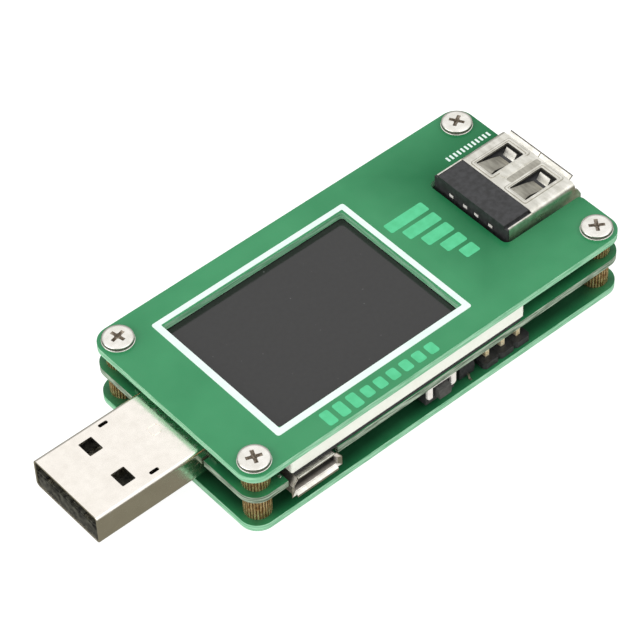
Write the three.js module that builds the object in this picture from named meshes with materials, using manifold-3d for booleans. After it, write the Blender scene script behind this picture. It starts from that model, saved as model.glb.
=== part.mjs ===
// A plug-through USB power meter: three stacked circuit boards held apart by brass standoffs,
// with a display in the top board's window, a USB-A plug at one end and a USB-A socket at the other.
//
// Units are millimetres and +Z is up. The model is laid out with x = 0 at the boards' plug end,
// y = 0 on their centre line and z = 0 under the bottom board, and the whole group is then moved
// so that the origin is the middle of the object's footprint.

import * as THREE from "three";
import { mergeVertices } from "three/addons/utils/BufferGeometryUtils.js";
import Module from "manifold-3d";

const wasm = await Module();
wasm.setup();

// ---------------------------------------------------------------- driving dimensions

const BOARD_LENGTH = 59.5;
const BOARD_WIDTH = 30.2;
const BOARD_THICK = 1.0;
const BOARD_CORNER = 2.5;
const LOWER_GAP = 4.1;
const UPPER_GAP = 2.6;
const HALF_WIDTH = BOARD_WIDTH / 2;

const BOTTOM_TOP = BOARD_THICK;
const MAIN_UNDER = BOTTOM_TOP + LOWER_GAP;
const MAIN_TOP = MAIN_UNDER + BOARD_THICK;
const TOP_UNDER = MAIN_TOP + UPPER_GAP;
const TOP_TOP = TOP_UNDER + BOARD_THICK;

const SCREW_INSET = 2.55;
const SCREW_HOLE_R = 1.1;
const THREAD_R = 0.95;
const BORE_R = 1.05;
const STANDOFF_R = 1.75;
const KNURL_DEPTH = 0.12;
const KNURL_TEETH = 18;
const SPIGOT_R = 1.3;
const SPIGOT_HOLE_R = 1.36;
const UPPER_BORE_DEPTH = 1.7;
const LOWER_BORE_DEPTH = 3.2;
const STUD_LENGTH = 2.4;
const HEAD_R = 2.05;
const HEAD_RIM = 0.4;
const HEAD_HEIGHT = 0.7;
const HEAD_SHOULDER = 0.55;
const HEAD_EDGE = 0.1;
const RECESS = { long: 0.95, wide: 0.2, depth: 0.45 };
const SCREW_REACH = 2.4;

const WINDOW = { x0: 7.75, x1: 36.05, y0: -10.75, y1: 10.7, corner: 0.8 };

const LCD = { x0: 5.95, x1: 42.5, halfWidth: 15.0, under: 6.7, wall: 0.7, floor: 0.4 };
const LIGHT_GUIDE_THICK = 0.6;
const GLASS_THICK = 0.9;
const GLASS_LEDGE_X = 2.4;
const FLEX = { half: 5.5, thick: 0.15, leaves: 0.9, lands: 1.4, reach: 2.9 };
const PAD = { x0: 15.5, x1: 35.5, y1: 12.5 };
const PAD_EDGE = { x0: 6.4, x1: 42.0, y0: -14.95, y1: -14.0 };

const METAL = 0.3;
const CONTACT_THICK = 0.2;
const SNUG = 0.05;
const PLUG_WIDTH = 12.0;
const PLUG_HEIGHT = 4.5;
const PLUG_BEND = 0.62;
const PLUG_TIP_X = -15.25;
const PLUG_REAR_X = 3.9;
const PLUG_UNDER = (MAIN_UNDER + MAIN_TOP) / 2 - PLUG_HEIGHT / 2;
const PLUG_PINS_Y = [3.5, 1.0, -1.0, -3.5];
const PLUG_NOTCH = { depth: 4.1, half: PLUG_WIDTH / 2 + 0.2 };
const PLUG_TONGUE = { setBack: 0.15, thick: 1.9 };
const PLUG_BLOCK_X = -2.6;
const PLUG_HOLE = { x0: -10.1, x1: -8.2, y: 3.03, half: 1.17 };
const PLUG_SLOT = { x0: -6.65, x1: -5.35, y: 4.78, half: 0.26, depth: METAL + 0.2 };
const PLUG_EAR = { x0: 0.8, x1: 2.6, reach: 1.6 };
const PLUG_CONTACT = { half: 0.5, long: 0.3, short: 0.6, channelHalf: 0.6, channelDepth: 0.5 };
const PLUG_TAIL_X = 5.7;

const SOCKET_WIDTH = 13.1;
const SOCKET_HEIGHT = 5.72;
const SOCKET_TOP = 11.55;
const SOCKET_UNDER = SOCKET_TOP - SOCKET_HEIGHT;
const SOCKET_REAR_X = 47.7;
const SOCKET_SIDES_X = 48.0;
const SOCKET_BLOCK_X = 51.9;
const SOCKET_FRONT_X = 59.1;
const SOCKET_LIP_X = 59.75;
const SOCKET_LIP = { rise: 0.5, spread: 0.4, corner: 1.1 };
const SOCKET_BEND = 0.7;
const SOCKET_RIM = SOCKET_TOP - 0.35;
const SOCKET_WALL_DEPTH = 1.9;
const SOCKET_TONGUE = { x1: 58.65, half: 5.55, z0: 8.85, z1: 10.69 };
const SOCKET_WINDOW = { x0: 52.9, x1: 58.15, y: 3.0, half: 1.45, tongueHalf: 0.95, tongueX: 57.6 };
const SOCKET_LEG = { x0: 49.0, x1: 50.2, drop: 0.7, slotSlack: 0.1, slotHalf: 0.35 };
const SOCKET_TAIL_X = 49.05;
const SOCKET_STRIP = { under: 9.6, top: 10.0, half: 0.35, tailHalf: 0.12, setBack: 0.4 };
const SOCKET_CHANNEL = { half: 0.42, under: 9.5, top: 10.1 };
const HOUSING_TOP_HALF = 5.9;
const SOCKET_NOTCH = { x: 51.6, half: 6.75 };
const TOP_NOTCH = { x: 47.05, half: 7.05, corner: 0.9 };

const MICRO_X = 9.05;
const MICRO_TOP = MAIN_TOP;
const MICRO_HEIGHT = 2.45;
const MICRO_UNDER = MICRO_TOP - MICRO_HEIGHT;
const MICRO_SHOULDER = MICRO_UNDER + 1.35;
const MICRO_HALF_WIDE = 3.5;
const MICRO_HALF_NARROW = 2.75;
const MICRO_WALL = 0.25;
const MICRO_FRONT_Y = -15.5;
const MICRO_REAR_Y = -10.95;
const MICRO_LIP_Y = -15.9;
const MICRO_LIP = { high: { rise: 0.12, half: 2.4 }, low: { rise: 0.3, half: 2.6 } };
const MICRO_EAR = { y0: -14.1, y1: -12.6, reach: 1.4 };
const MICRO_NOTCH_HALF = 3.75;
const MICRO_BLOCK_Y = -12.6;
const MICRO_TONGUE = { half: 1.9, y: -14.2, z0: 4.95, z1: 5.5 };
const MICRO_CONTACT = { pitch: 0.65, half: 0.16, y: -13.9, thick: 0.1, ways: 5 };
const MICRO_SLOT = { half: 1.6, depth: 0.16 };

const BUTTON_X = 29.25;
const BUTTON_TRAVEL = 0.25;
const BUTTON_WALL = 0.2;
const BUTTON_POCKET_Y = -12.5;
const BUTTON_FRAME = { y: -15.0, lugUnder: 3.05, lug: 0.85, strapGap: 0.3 };
const BUTTON_DOME = { r: 0.8, thick: 0.12, slack: 0.1 };
const BUTTON_BODY = { half: 2.3, y0: -14.6, y1: -11.0, z0: 1.9 };
const PLUNGER = { half: 0.95, y0: -15.6, z0: 2.8, z1: 4.4 };
const FLANGE = { side: 0.35, low: 0.2, high: 0.15, thick: 0.45, gap: 0.05 };
const NUB = { half: 0.5, y: -13.2 };

const HEADER_PITCH = 2.54;
const HEADER = { x: 40.3, y: -13.43, depth: 2.54, height: 1.0, pin: 0.64, proud: 0.35, ways: 3 };
const PIN_HOLE_R = 0.55;

// How far a cutting solid reaches past what it cuts, and how far a joined piece reaches into it.
const MARGIN = 1;
const BITE = 0.2;

// ---------------------------------------------------------------- materials

function finish(colour, roughness, metalness) {
  return new THREE.MeshStandardMaterial({ color: colour, roughness, metalness });
}

const boardGreen = finish(0x3f9a68, 0.45, 0.0);
const nickel = finish(0xd2d0c8, 0.28, 1.0);
const brass = finish(0xa8843f, 0.35, 1.0);
const gold = finish(0xd9b45a, 0.3, 1.0);
const blackPlastic = finish(0x1b1b1c, 0.55, 0.0);
const greyPlastic = finish(0x4a4b48, 0.5, 0.0);
const whitePlastic = finish(0xf4f1e6, 0.45, 0.0);
const darkGlass = finish(0x484846, 0.12, 0.0);
const clearPlastic = finish(0xe8eef0, 0.2, 0.0);
const amberFilm = finish(0xb8742c, 0.4, 0.0);
const foam = finish(0x303030, 0.9, 0.0);
const ceramic = finish(0xcfc7b4, 0.6, 0.0);

// ---------------------------------------------------------------- geometry helpers

const ALONG_X = new THREE.Matrix4().makeBasis(
  new THREE.Vector3(0, 1, 0),
  new THREE.Vector3(0, 0, 1),
  new THREE.Vector3(1, 0, 0),
);
const ALONG_MINUS_Y = new THREE.Matrix4().makeBasis(
  new THREE.Vector3(1, 0, 0),
  new THREE.Vector3(0, 0, 1),
  new THREE.Vector3(0, -1, 0),
);

/** A box between two corners. */
function box(x0, y0, z0, x1, y1, z1) {
  const geometry = new THREE.BoxGeometry(x1 - x0, y1 - y0, z1 - z0);
  return geometry.translate((x0 + x1) / 2, (y0 + y1) / 2, (z0 + z1) / 2);
}

/** An upright cylinder with its low end at z0. */
function cylinder(radius, x, y, z0, z1, sides = 16) {
  const geometry = new THREE.CylinderGeometry(radius, radius, z1 - z0, sides);
  return geometry.rotateX(Math.PI / 2).translate(x, y, (z0 + z1) / 2);
}

function extrude(shape, depth, curveSegments) {
  return new THREE.ExtrudeGeometry(shape, { depth, bevelEnabled: false, curveSegments });
}

/** A shape drawn in x and y, standing from z0 to z1. */
function extrudeZ(shape, z0, z1, curveSegments = 4) {
  return extrude(shape, z1 - z0, curveSegments).translate(0, 0, z0);
}

/** A shape drawn in y and z, running from x0 to x1. */
function extrudeX(shape, x0, x1, curveSegments = 2) {
  return extrude(shape, x1 - x0, curveSegments).applyMatrix4(ALONG_X).translate(x0, 0, 0);
}

/** A shape drawn in x and z, running from y0 to y1. */
function extrudeY(shape, y0, y1, curveSegments = 2) {
  return extrude(shape, y1 - y0, curveSegments).applyMatrix4(ALONG_MINUS_Y).translate(0, y1, 0);
}

/** A rectangle with round corners, as a Shape or, for a hole, a Path. */
function roundRect(kind, x0, y0, x1, y1, r) {
  const path = new kind();
  path.absarc(x1 - r, y0 + r, r, -Math.PI / 2, 0);
  path.absarc(x1 - r, y1 - r, r, 0, Math.PI / 2);
  path.absarc(x0 + r, y1 - r, r, Math.PI / 2, Math.PI);
  path.absarc(x0 + r, y0 + r, r, Math.PI, Math.PI * 1.5);
  path.closePath();
  return path;
}

function polygon(points) {
  return new THREE.Shape(points.map(([u, v]) => new THREE.Vector2(u, v)));
}

/** The manifold-3d solid of a closed three.js geometry. */
function solid(geometry) {
  const bare = geometry.clone();
  bare.deleteAttribute("normal");
  bare.deleteAttribute("uv");
  const merged = mergeVertices(bare, 1e-4);
  const corners = merged.index.array;
  const kept = [];
  for (let i = 0; i < corners.length; i += 3) {
    const [a, b, c] = corners.slice(i, i + 3);
    if (a !== b && b !== c && c !== a) kept.push(a, b, c);
  }
  const mesh = new wasm.Mesh({
    numProp: 3,
    vertProperties: new Float32Array(merged.attributes.position.array),
    triVerts: new Uint32Array(kept),
  });
  return new wasm.Manifold(mesh);
}

/** The first geometry, joined with the added ones and cut by the removed ones. */
function carve(base, added = [], removed = []) {
  let result = solid(base);
  for (const piece of added) result = result.add(solid(piece));
  for (const piece of removed) result = result.subtract(solid(piece));
  const mesh = result.getMesh();
  const geometry = new THREE.BufferGeometry();
  geometry.setAttribute("position", new THREE.BufferAttribute(mesh.vertProperties, 3));
  geometry.setIndex(new THREE.BufferAttribute(mesh.triVerts, 1));
  geometry.computeVertexNormals();
  return geometry;
}

const meter = new THREE.Group();

function put(name, geometry, material) {
  const mesh = new THREE.Mesh(geometry, material);
  mesh.name = name;
  meter.add(mesh);
}

// ---------------------------------------------------------------- boards

const screwPlaces = [];
for (const x of [SCREW_INSET, BOARD_LENGTH - SCREW_INSET]) {
  for (const side of [1, -1]) screwPlaces.push([x, side * (HALF_WIDTH - SCREW_INSET)]);
}

function boardBlank() {
  return roundRect(THREE.Shape, 0, -HALF_WIDTH, BOARD_LENGTH, HALF_WIDTH, BOARD_CORNER);
}

function roundHole(x, y, r) {
  return new THREE.Path().absarc(x, y, r, 0, Math.PI * 2);
}

function board(z0, holes, removed) {
  const shape = boardBlank();
  shape.holes.push(...holes);
  const blank = extrudeZ(shape, z0, z0 + BOARD_THICK, 5);
  return removed.length ? carve(blank, [], removed) : blank;
}

const headerPinX = [];
for (let way = 0; way < HEADER.ways; way++) {
  headerPinX.push(HEADER.x + (way - (HEADER.ways - 1) / 2) * HEADER_PITCH);
}

function makeBoards() {
  const screwHoles = () => screwPlaces.map(([x, y]) => roundHole(x, y, SCREW_HOLE_R));
  const pinHoles = () => headerPinX.map((x) => roundHole(x, HEADER.y, PIN_HOLE_R));

  const window = roundRect(THREE.Path, WINDOW.x0, WINDOW.y0, WINDOW.x1, WINDOW.y1, WINDOW.corner);
  const notch = roundRect(
    THREE.Shape,
    TOP_NOTCH.x,
    -TOP_NOTCH.half,
    BOARD_LENGTH + MARGIN + TOP_NOTCH.corner,
    TOP_NOTCH.half,
    TOP_NOTCH.corner,
  );
  const topCut = extrudeZ(notch, TOP_UNDER - MARGIN, TOP_TOP + MARGIN, 3);
  put("top_board", board(TOP_UNDER, [...screwHoles(), window], [topCut]), boardGreen);

  const low = MAIN_UNDER - MARGIN;
  const high = MAIN_TOP + MARGIN;
  const mainCuts = [
    box(-MARGIN, -PLUG_NOTCH.half, low, PLUG_NOTCH.depth, PLUG_NOTCH.half, high),
    box(SOCKET_NOTCH.x, -SOCKET_NOTCH.half, low, BOARD_LENGTH + MARGIN, SOCKET_NOTCH.half, high),
    box(
      MICRO_X - MICRO_NOTCH_HALF,
      -HALF_WIDTH - MARGIN,
      low,
      MICRO_X + MICRO_NOTCH_HALF,
      MICRO_REAR_Y + SNUG,
      high,
    ),
  ];
  for (const side of [1, -1]) {
    const y = side * (SOCKET_WIDTH / 2 - METAL / 2);
    const { x0, x1, slotSlack, slotHalf } = SOCKET_LEG;
    mainCuts.push(box(x0 - slotSlack, y - slotHalf, low, x1 + slotSlack, y + slotHalf, high));
  }
  const tailHoles = PLUG_PINS_Y.map((y) => roundHole(SOCKET_TAIL_X, y, PIN_HOLE_R));
  const mainHoles = [...screwHoles(), ...pinHoles(), ...tailHoles];
  put("main_board", board(MAIN_UNDER, mainHoles, mainCuts), boardGreen);

  const spigotHoles = screwPlaces.map(([x, y]) => roundHole(x, y, SPIGOT_HOLE_R));
  put("bottom_board", board(0, [...spigotHoles, ...pinHoles()], []), boardGreen);
}

// ---------------------------------------------------------------- screws and standoffs

/** A pan-head screw with a cross recess, its head resting on z = 0. */
function panScrew() {
  const shoulder = [];
  const steps = 4;
  for (let i = 0; i <= steps; i++) {
    const angle = (i / steps) * (Math.PI / 2);
    const r = HEAD_R - HEAD_SHOULDER * (1 - Math.cos(angle));
    shoulder.push(new THREE.Vector2(r, HEAD_RIM + (HEAD_HEIGHT - HEAD_RIM) * Math.sin(angle)));
  }
  const profile = [
    new THREE.Vector2(0, -SCREW_REACH),
    new THREE.Vector2(THREAD_R, -SCREW_REACH),
    new THREE.Vector2(THREAD_R, 0),
    new THREE.Vector2(HEAD_R - HEAD_EDGE, 0),
    new THREE.Vector2(HEAD_R, HEAD_EDGE),
    ...shoulder,
    new THREE.Vector2(0, HEAD_HEIGHT),
  ];
  const turned = new THREE.LatheGeometry(profile, 20).rotateX(Math.PI / 2);
  const { long, wide, depth } = RECESS;
  const floor = HEAD_HEIGHT - depth;
  return carve(turned, [], [
    box(-long, -wide, floor, long, wide, HEAD_HEIGHT + MARGIN),
    box(-wide, -long, floor, wide, long, HEAD_HEIGHT + MARGIN),
  ]);
}

/** A straight-knurled round post from z0 to z1. */
function knurledPost(z0, z1) {
  const points = [];
  for (let i = 0; i < KNURL_TEETH * 2; i++) {
    const angle = (i / (KNURL_TEETH * 2)) * Math.PI * 2;
    const r = i % 2 ? STANDOFF_R - KNURL_DEPTH : STANDOFF_R;
    points.push([r * Math.cos(angle), r * Math.sin(angle)]);
  }
  return extrudeZ(polygon(points), z0, z1);
}

function makeFasteners() {
  const upper = carve(
    knurledPost(MAIN_TOP, TOP_UNDER),
    [cylinder(THREAD_R, 0, 0, MAIN_TOP - STUD_LENGTH, MAIN_TOP + BITE, 12)],
    [cylinder(BORE_R, 0, 0, TOP_UNDER - UPPER_BORE_DEPTH, TOP_UNDER + MARGIN, 12)],
  );
  const lower = carve(
    knurledPost(BOTTOM_TOP, MAIN_UNDER),
    [cylinder(SPIGOT_R, 0, 0, 0, BOTTOM_TOP + BITE)],
    [cylinder(BORE_R, 0, 0, MAIN_UNDER - LOWER_BORE_DEPTH, MAIN_UNDER + MARGIN, 12)],
  );
  const screw = panScrew().translate(0, 0, TOP_TOP);
  screwPlaces.forEach(([x, y], i) => {
    put(`top_screw_${i + 1}`, screw.clone().translate(x, y, 0), nickel);
    put(`upper_standoff_${i + 1}`, upper.clone().translate(x, y, 0), brass);
    put(`lower_standoff_${i + 1}`, lower.clone().translate(x, y, 0), brass);
  });
}

// ---------------------------------------------------------------- display module

function makeDisplay() {
  const { x0, x1, halfWidth, under, wall, floor } = LCD;
  const guideUnder = under + floor;
  const glassUnder = guideUnder + LIGHT_GUIDE_THICK;
  const inner = { x0: x0 + wall, x1: x1 - wall, y: halfWidth - wall };
  const frame = carve(
    box(x0, -halfWidth, under, x1, halfWidth, TOP_UNDER),
    [],
    [box(inner.x0, -inner.y, guideUnder, inner.x1, inner.y, TOP_UNDER + MARGIN)],
  );
  put("lcd_frame", frame, whitePlastic);
  put(
    "lcd_light_guide",
    box(inner.x0, -inner.y, guideUnder, inner.x1, inner.y, glassUnder),
    clearPlastic,
  );
  const glassTop = glassUnder + GLASS_THICK;
  put(
    "lcd_glass",
    box(inner.x0, -inner.y, glassUnder, inner.x1 - GLASS_LEDGE_X, inner.y, glassTop),
    darkGlass,
  );
  const { half, thick, leaves, lands, reach } = FLEX;
  const flex = polygon([
    [x1, under],
    [x1 + leaves, under],
    [x1 + lands, MAIN_TOP],
    [x1 + reach, MAIN_TOP],
    [x1 + reach, MAIN_TOP + thick],
    [x1 + lands + thick, MAIN_TOP + thick],
    [x1 + leaves + thick, under + thick],
    [x1, under + thick],
  ]);
  put("lcd_flex", extrudeY(flex, -half, half), amberFilm);
  const edge = PAD_EDGE;
  const padMiddle = box(PAD.x0, edge.y0, MAIN_TOP, PAD.x1, PAD.y1, under);
  const padEdge = box(edge.x0, edge.y0, MAIN_TOP, edge.x1, edge.y1, under);
  put("lcd_pad", carve(padMiddle, [padEdge], []), foam);
}

// ---------------------------------------------------------------- USB-A plug

function makePlug() {
  const half = PLUG_WIDTH / 2;
  const top = PLUG_UNDER + PLUG_HEIGHT;
  const section = roundRect(THREE.Shape, -half, PLUG_UNDER, half, top, PLUG_BEND);
  const inside = [half - METAL, PLUG_UNDER + METAL, top - METAL];
  section.holes.push(
    roundRect(THREE.Path, -inside[0], inside[1], inside[0], inside[2], PLUG_BEND - METAL),
  );
  const tube = extrudeX(section, PLUG_TIP_X, PLUG_REAR_X, 3);

  const ears = [1, -1].map((side) => {
    const y = [side * (half - METAL / 2), side * (half + PLUG_EAR.reach)];
    return box(
      PLUG_EAR.x0,
      Math.min(...y),
      MAIN_TOP,
      PLUG_EAR.x1,
      Math.max(...y),
      MAIN_TOP + METAL,
    );
  });
  const high = top + MARGIN;
  const cuts = [1, -1].flatMap((side) => {
    const hole = side * PLUG_HOLE.y;
    const slot = side * PLUG_SLOT.y;
    const slotFloor = top - PLUG_SLOT.depth;
    return [
      box(PLUG_HOLE.x0, hole - PLUG_HOLE.half, 0, PLUG_HOLE.x1, hole + PLUG_HOLE.half, high),
      box(PLUG_SLOT.x0, slot - PLUG_SLOT.half, slotFloor, PLUG_SLOT.x1, slot + PLUG_SLOT.half, high),
    ];
  });
  put("plug_shell", carve(tube, ears, cuts), nickel);

  const floor = PLUG_UNDER + METAL;
  const tongueTop = floor + PLUG_TONGUE.thick;
  const reach = half - METAL - SNUG;
  const rear = PLUG_REAR_X - 0.45;
  const bar = (z1) => roundRect(THREE.Shape, -reach, floor, reach, z1, PLUG_BEND - METAL + 0.1);
  const { channelHalf, channelDepth } = PLUG_CONTACT;
  const channelTop = tongueTop + channelDepth;
  const carrier = carve(
    extrudeX(bar(tongueTop), PLUG_TIP_X + PLUG_TONGUE.setBack, rear),
    [extrudeX(bar(top - METAL - SNUG), PLUG_BLOCK_X, rear)],
    PLUG_PINS_Y.map((y) =>
      box(
        PLUG_BLOCK_X - MARGIN,
        y - channelHalf,
        tongueTop,
        rear + MARGIN,
        y + channelHalf,
        channelTop,
      ),
    ),
  );
  put("plug_insulator", carrier, blackPlastic);

  const rise = rear + 0.15;
  PLUG_PINS_Y.forEach((y, i) => {
    const power = Math.abs(y) > 2;
    const front = PLUG_TIP_X + (power ? PLUG_CONTACT.long : PLUG_CONTACT.short);
    const side = polygon([
      [front, tongueTop],
      [rise + CONTACT_THICK, tongueTop],
      [rise + CONTACT_THICK, MAIN_TOP],
      [PLUG_TAIL_X, MAIN_TOP],
      [PLUG_TAIL_X, MAIN_TOP + CONTACT_THICK],
      [rise, MAIN_TOP + CONTACT_THICK],
      [rise, tongueTop + CONTACT_THICK],
      [front, tongueTop + CONTACT_THICK],
    ]);
    const contact = extrudeY(side, y - PLUG_CONTACT.half, y + PLUG_CONTACT.half);
    put(`plug_contact_${i + 1}`, contact, gold);
  });
}

// ---------------------------------------------------------------- USB-A socket

/** One of the shell's top windows, leaving the spring tongue that stands in it. */
function tongueWindow(y) {
  const { x0, x1, half, tongueHalf, tongueX } = SOCKET_WINDOW;
  const low = SOCKET_TOP - 2 * METAL;
  const high = SOCKET_TOP + MARGIN;
  return [
    box(x0, y - half, low, x1, y - tongueHalf, high),
    box(x0, y + tongueHalf, low, x1, y + half, high),
    box(tongueX, y - half, low, x1, y + half, high),
  ];
}

/** The flared lip in front of a shell wall: its section, outward in the second coordinate. */
function lipSection(edge, outward, rise) {
  const back = SOCKET_FRONT_X - METAL / 3;
  return polygon([
    [back, edge],
    [back, edge - outward * METAL],
    [SOCKET_LIP_X, edge + outward * (rise - METAL)],
    [SOCKET_LIP_X, edge + outward * rise],
  ]);
}

function makeSocketShell() {
  const half = SOCKET_WIDTH / 2;
  const inside = half - METAL;
  const section = roundRect(
    THREE.Shape,
    -half,
    SOCKET_UNDER,
    half,
    SOCKET_TOP,
    SOCKET_BEND,
  );
  section.holes.push(
    roundRect(
      THREE.Path,
      -inside,
      SOCKET_UNDER + METAL,
      inside,
      SOCKET_TOP - METAL,
      SOCKET_BEND - METAL,
    ),
  );
  const tube = extrudeX(section, SOCKET_SIDES_X, SOCKET_FRONT_X, 3);

  const back = SOCKET_SIDES_X - MARGIN;
  const past = SOCKET_TOP + MARGIN;
  const wallFoot = SOCKET_RIM - SOCKET_WALL_DEPTH;
  const cuts = [
    box(back, -inside, wallFoot - MARGIN, SOCKET_BLOCK_X, inside, past),
    box(back, -inside, 0, SOCKET_BLOCK_X, inside, wallFoot),
    box(back, -half - MARGIN, SOCKET_RIM, SOCKET_BLOCK_X, half + MARGIN, past),
    box(back, -half - MARGIN, 0, SOCKET_NOTCH.x + SNUG, half + MARGIN, MAIN_TOP),
    ...tongueWindow(SOCKET_WINDOW.y),
    ...tongueWindow(-SOCKET_WINDOW.y),
  ];

  const { rise, spread, corner } = SOCKET_LIP;
  const lipHalf = half - corner;
  const added = [
    extrudeY(lipSection(SOCKET_TOP, 1, rise), -lipHalf, lipHalf),
    extrudeY(lipSection(SOCKET_UNDER, -1, rise), -lipHalf, lipHalf),
  ];
  for (const side of [1, -1]) {
    const lip = lipSection(side * half, side, spread);
    added.push(extrudeZ(lip, SOCKET_UNDER + corner, SOCKET_TOP - corner));
    const y = side * (half - METAL / 2);
    const foot = MAIN_UNDER - SOCKET_LEG.drop;
    added.push(
      box(SOCKET_LEG.x0, y - METAL / 2, foot, SOCKET_LEG.x1, y + METAL / 2, MAIN_TOP + MARGIN),
    );
  }
  put("receptacle_shell", carve(carve(tube, [], cuts), added), nickel);
}

function makeSocketInside() {
  const half = SOCKET_WIDTH / 2;
  const blockHalf = half - METAL - SNUG;
  const blockFront = SOCKET_BLOCK_X - SNUG;
  const shoulder = SOCKET_TOP - METAL - 2 * SNUG;
  const { x1, half: tongueHalf, z0, z1 } = SOCKET_TONGUE;
  const strip = SOCKET_STRIP;
  const dropX = blockFront - strip.setBack;
  const lane = SOCKET_CHANNEL;
  const channels = PLUG_PINS_Y.flatMap((y) => [
    box(SOCKET_REAR_X - MARGIN, y - lane.half, lane.under, blockFront, y + lane.half, lane.top),
    box(SOCKET_TAIL_X - BITE, y - lane.half, 0, SOCKET_TAIL_X + BITE, y + lane.half, lane.top),
    box(
      dropX - BITE,
      y - lane.half,
      z0 - 2 * CONTACT_THICK,
      SOCKET_BLOCK_X,
      y + lane.half,
      lane.top,
    ),
  ]);
  const housing = carve(
    box(SOCKET_REAR_X, -blockHalf, MAIN_TOP, blockFront, blockHalf, shoulder),
    [
      box(
        SOCKET_REAR_X,
        -HOUSING_TOP_HALF,
        shoulder - MARGIN,
        blockFront,
        HOUSING_TOP_HALF,
        SOCKET_TOP,
      ),
      box(SOCKET_BLOCK_X - MARGIN, -tongueHalf, z0, x1, tongueHalf, z1),
      box(SOCKET_REAR_X, -half, MAIN_TOP, SOCKET_SIDES_X - SNUG, half, SOCKET_RIM - SNUG),
    ],
    channels,
  );
  put("receptacle_housing", housing, blackPlastic);

  PLUG_PINS_Y.forEach((y, i) => {
    const tailEnd = MAIN_UNDER - SOCKET_LEG.drop;
    const front = x1 - strip.setBack;
    const side = polygon([
      [SOCKET_REAR_X, strip.under],
      [SOCKET_TAIL_X - strip.tailHalf, strip.under],
      [SOCKET_TAIL_X - strip.tailHalf, tailEnd],
      [SOCKET_TAIL_X + strip.tailHalf, tailEnd],
      [SOCKET_TAIL_X + strip.tailHalf, strip.under],
      [dropX, strip.under],
      [dropX, z0 - CONTACT_THICK],
      [front, z0 - CONTACT_THICK],
      [front, z0],
      [dropX + CONTACT_THICK, z0],
      [dropX + CONTACT_THICK, strip.top],
      [SOCKET_REAR_X, strip.top],
    ]);
    put(`receptacle_contact_${i + 1}`, extrudeY(side, y - strip.half, y + strip.half), gold);
  });
}

// ---------------------------------------------------------------- micro-USB socket

/** The socket's section: wide below, with the two upper corners cut back. */
function microSection(inset, kind) {
  const wide = MICRO_HALF_WIDE - inset;
  const narrow = MICRO_HALF_NARROW - inset * 0.6;
  const low = MICRO_UNDER + inset;
  const high = MICRO_TOP - inset;
  const outline = new kind();
  outline.moveTo(MICRO_X - wide, low);
  outline.lineTo(MICRO_X + wide, low);
  outline.lineTo(MICRO_X + wide, MICRO_SHOULDER);
  outline.lineTo(MICRO_X + narrow, high);
  outline.lineTo(MICRO_X - narrow, high);
  outline.lineTo(MICRO_X - wide, MICRO_SHOULDER);
  outline.closePath();
  return outline;
}

function makeMicroUsb() {
  const section = microSection(0, THREE.Shape);
  section.holes.push(microSection(MICRO_WALL, THREE.Path));
  const tube = extrudeY(section, MICRO_FRONT_Y, MICRO_REAR_Y);
  const lip = (z, outward, { rise, half }) => {
    const back = MICRO_FRONT_Y + MICRO_WALL / 2;
    const shape = polygon([
      [back, z],
      [back, z - outward * MICRO_WALL],
      [MICRO_LIP_Y, z + outward * (rise - MICRO_WALL)],
      [MICRO_LIP_Y, z + outward * rise],
    ]);
    return extrudeX(shape, MICRO_X - half, MICRO_X + half);
  };
  const ear = (side) => {
    const inner = MICRO_X + side * (MICRO_HALF_WIDE - MICRO_WALL);
    const outer = MICRO_X + side * (MICRO_HALF_WIDE + MICRO_EAR.reach);
    const [a, b] = [Math.min(inner, outer), Math.max(inner, outer)];
    return box(a, MICRO_EAR.y0, MAIN_UNDER - MICRO_WALL, b, MICRO_EAR.y1, MAIN_UNDER);
  };
  const lips = [
    lip(MICRO_TOP, 1, MICRO_LIP.high),
    lip(MICRO_UNDER, -1, MICRO_LIP.low),
  ];
  const hollow = extrudeY(microSection(MICRO_WALL, THREE.Shape), MICRO_FRONT_Y, MICRO_REAR_Y);
  const shell = carve(carve(tube, [ear(1), ear(-1)], [hollow]), lips);
  put("micro_usb_shell", shell, nickel);

  const tongue = MICRO_TONGUE;
  const slot = MICRO_SLOT;
  const block = microSection(MICRO_WALL + SNUG, THREE.Shape);
  const insulator = carve(
    extrudeY(block, MICRO_BLOCK_Y, MICRO_REAR_Y),
    [
      box(
        MICRO_X - tongue.half,
        tongue.y,
        tongue.z0,
        MICRO_X + tongue.half,
        MICRO_BLOCK_Y + BITE,
        tongue.z1,
      ),
    ],
    [
      box(
        MICRO_X - slot.half,
        MICRO_BLOCK_Y - MARGIN,
        tongue.z0 - slot.depth,
        MICRO_X + slot.half,
        MICRO_REAR_Y + MARGIN,
        tongue.z0,
      ),
    ],
  );
  put("micro_usb_insulator", insulator, blackPlastic);

  const { pitch, half: contactHalf, y, thick, ways } = MICRO_CONTACT;
  for (let way = 0; way < ways; way++) {
    const x = MICRO_X + (way - (ways - 1) / 2) * pitch;
    const low = tongue.z0 - thick;
    const strip = box(x - contactHalf, y, low, x + contactHalf, MICRO_REAR_Y, tongue.z0);
    put(`micro_usb_contact_${way + 1}`, strip, gold);
  }
}

// ---------------------------------------------------------------- side push switch

/** A box on the switch's own centre line, given its half width. */
function buttonBox(half, y0, z0, y1, z1) {
  return box(BUTTON_X - half, y0, z0, BUTTON_X + half, y1, z1);
}

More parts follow.
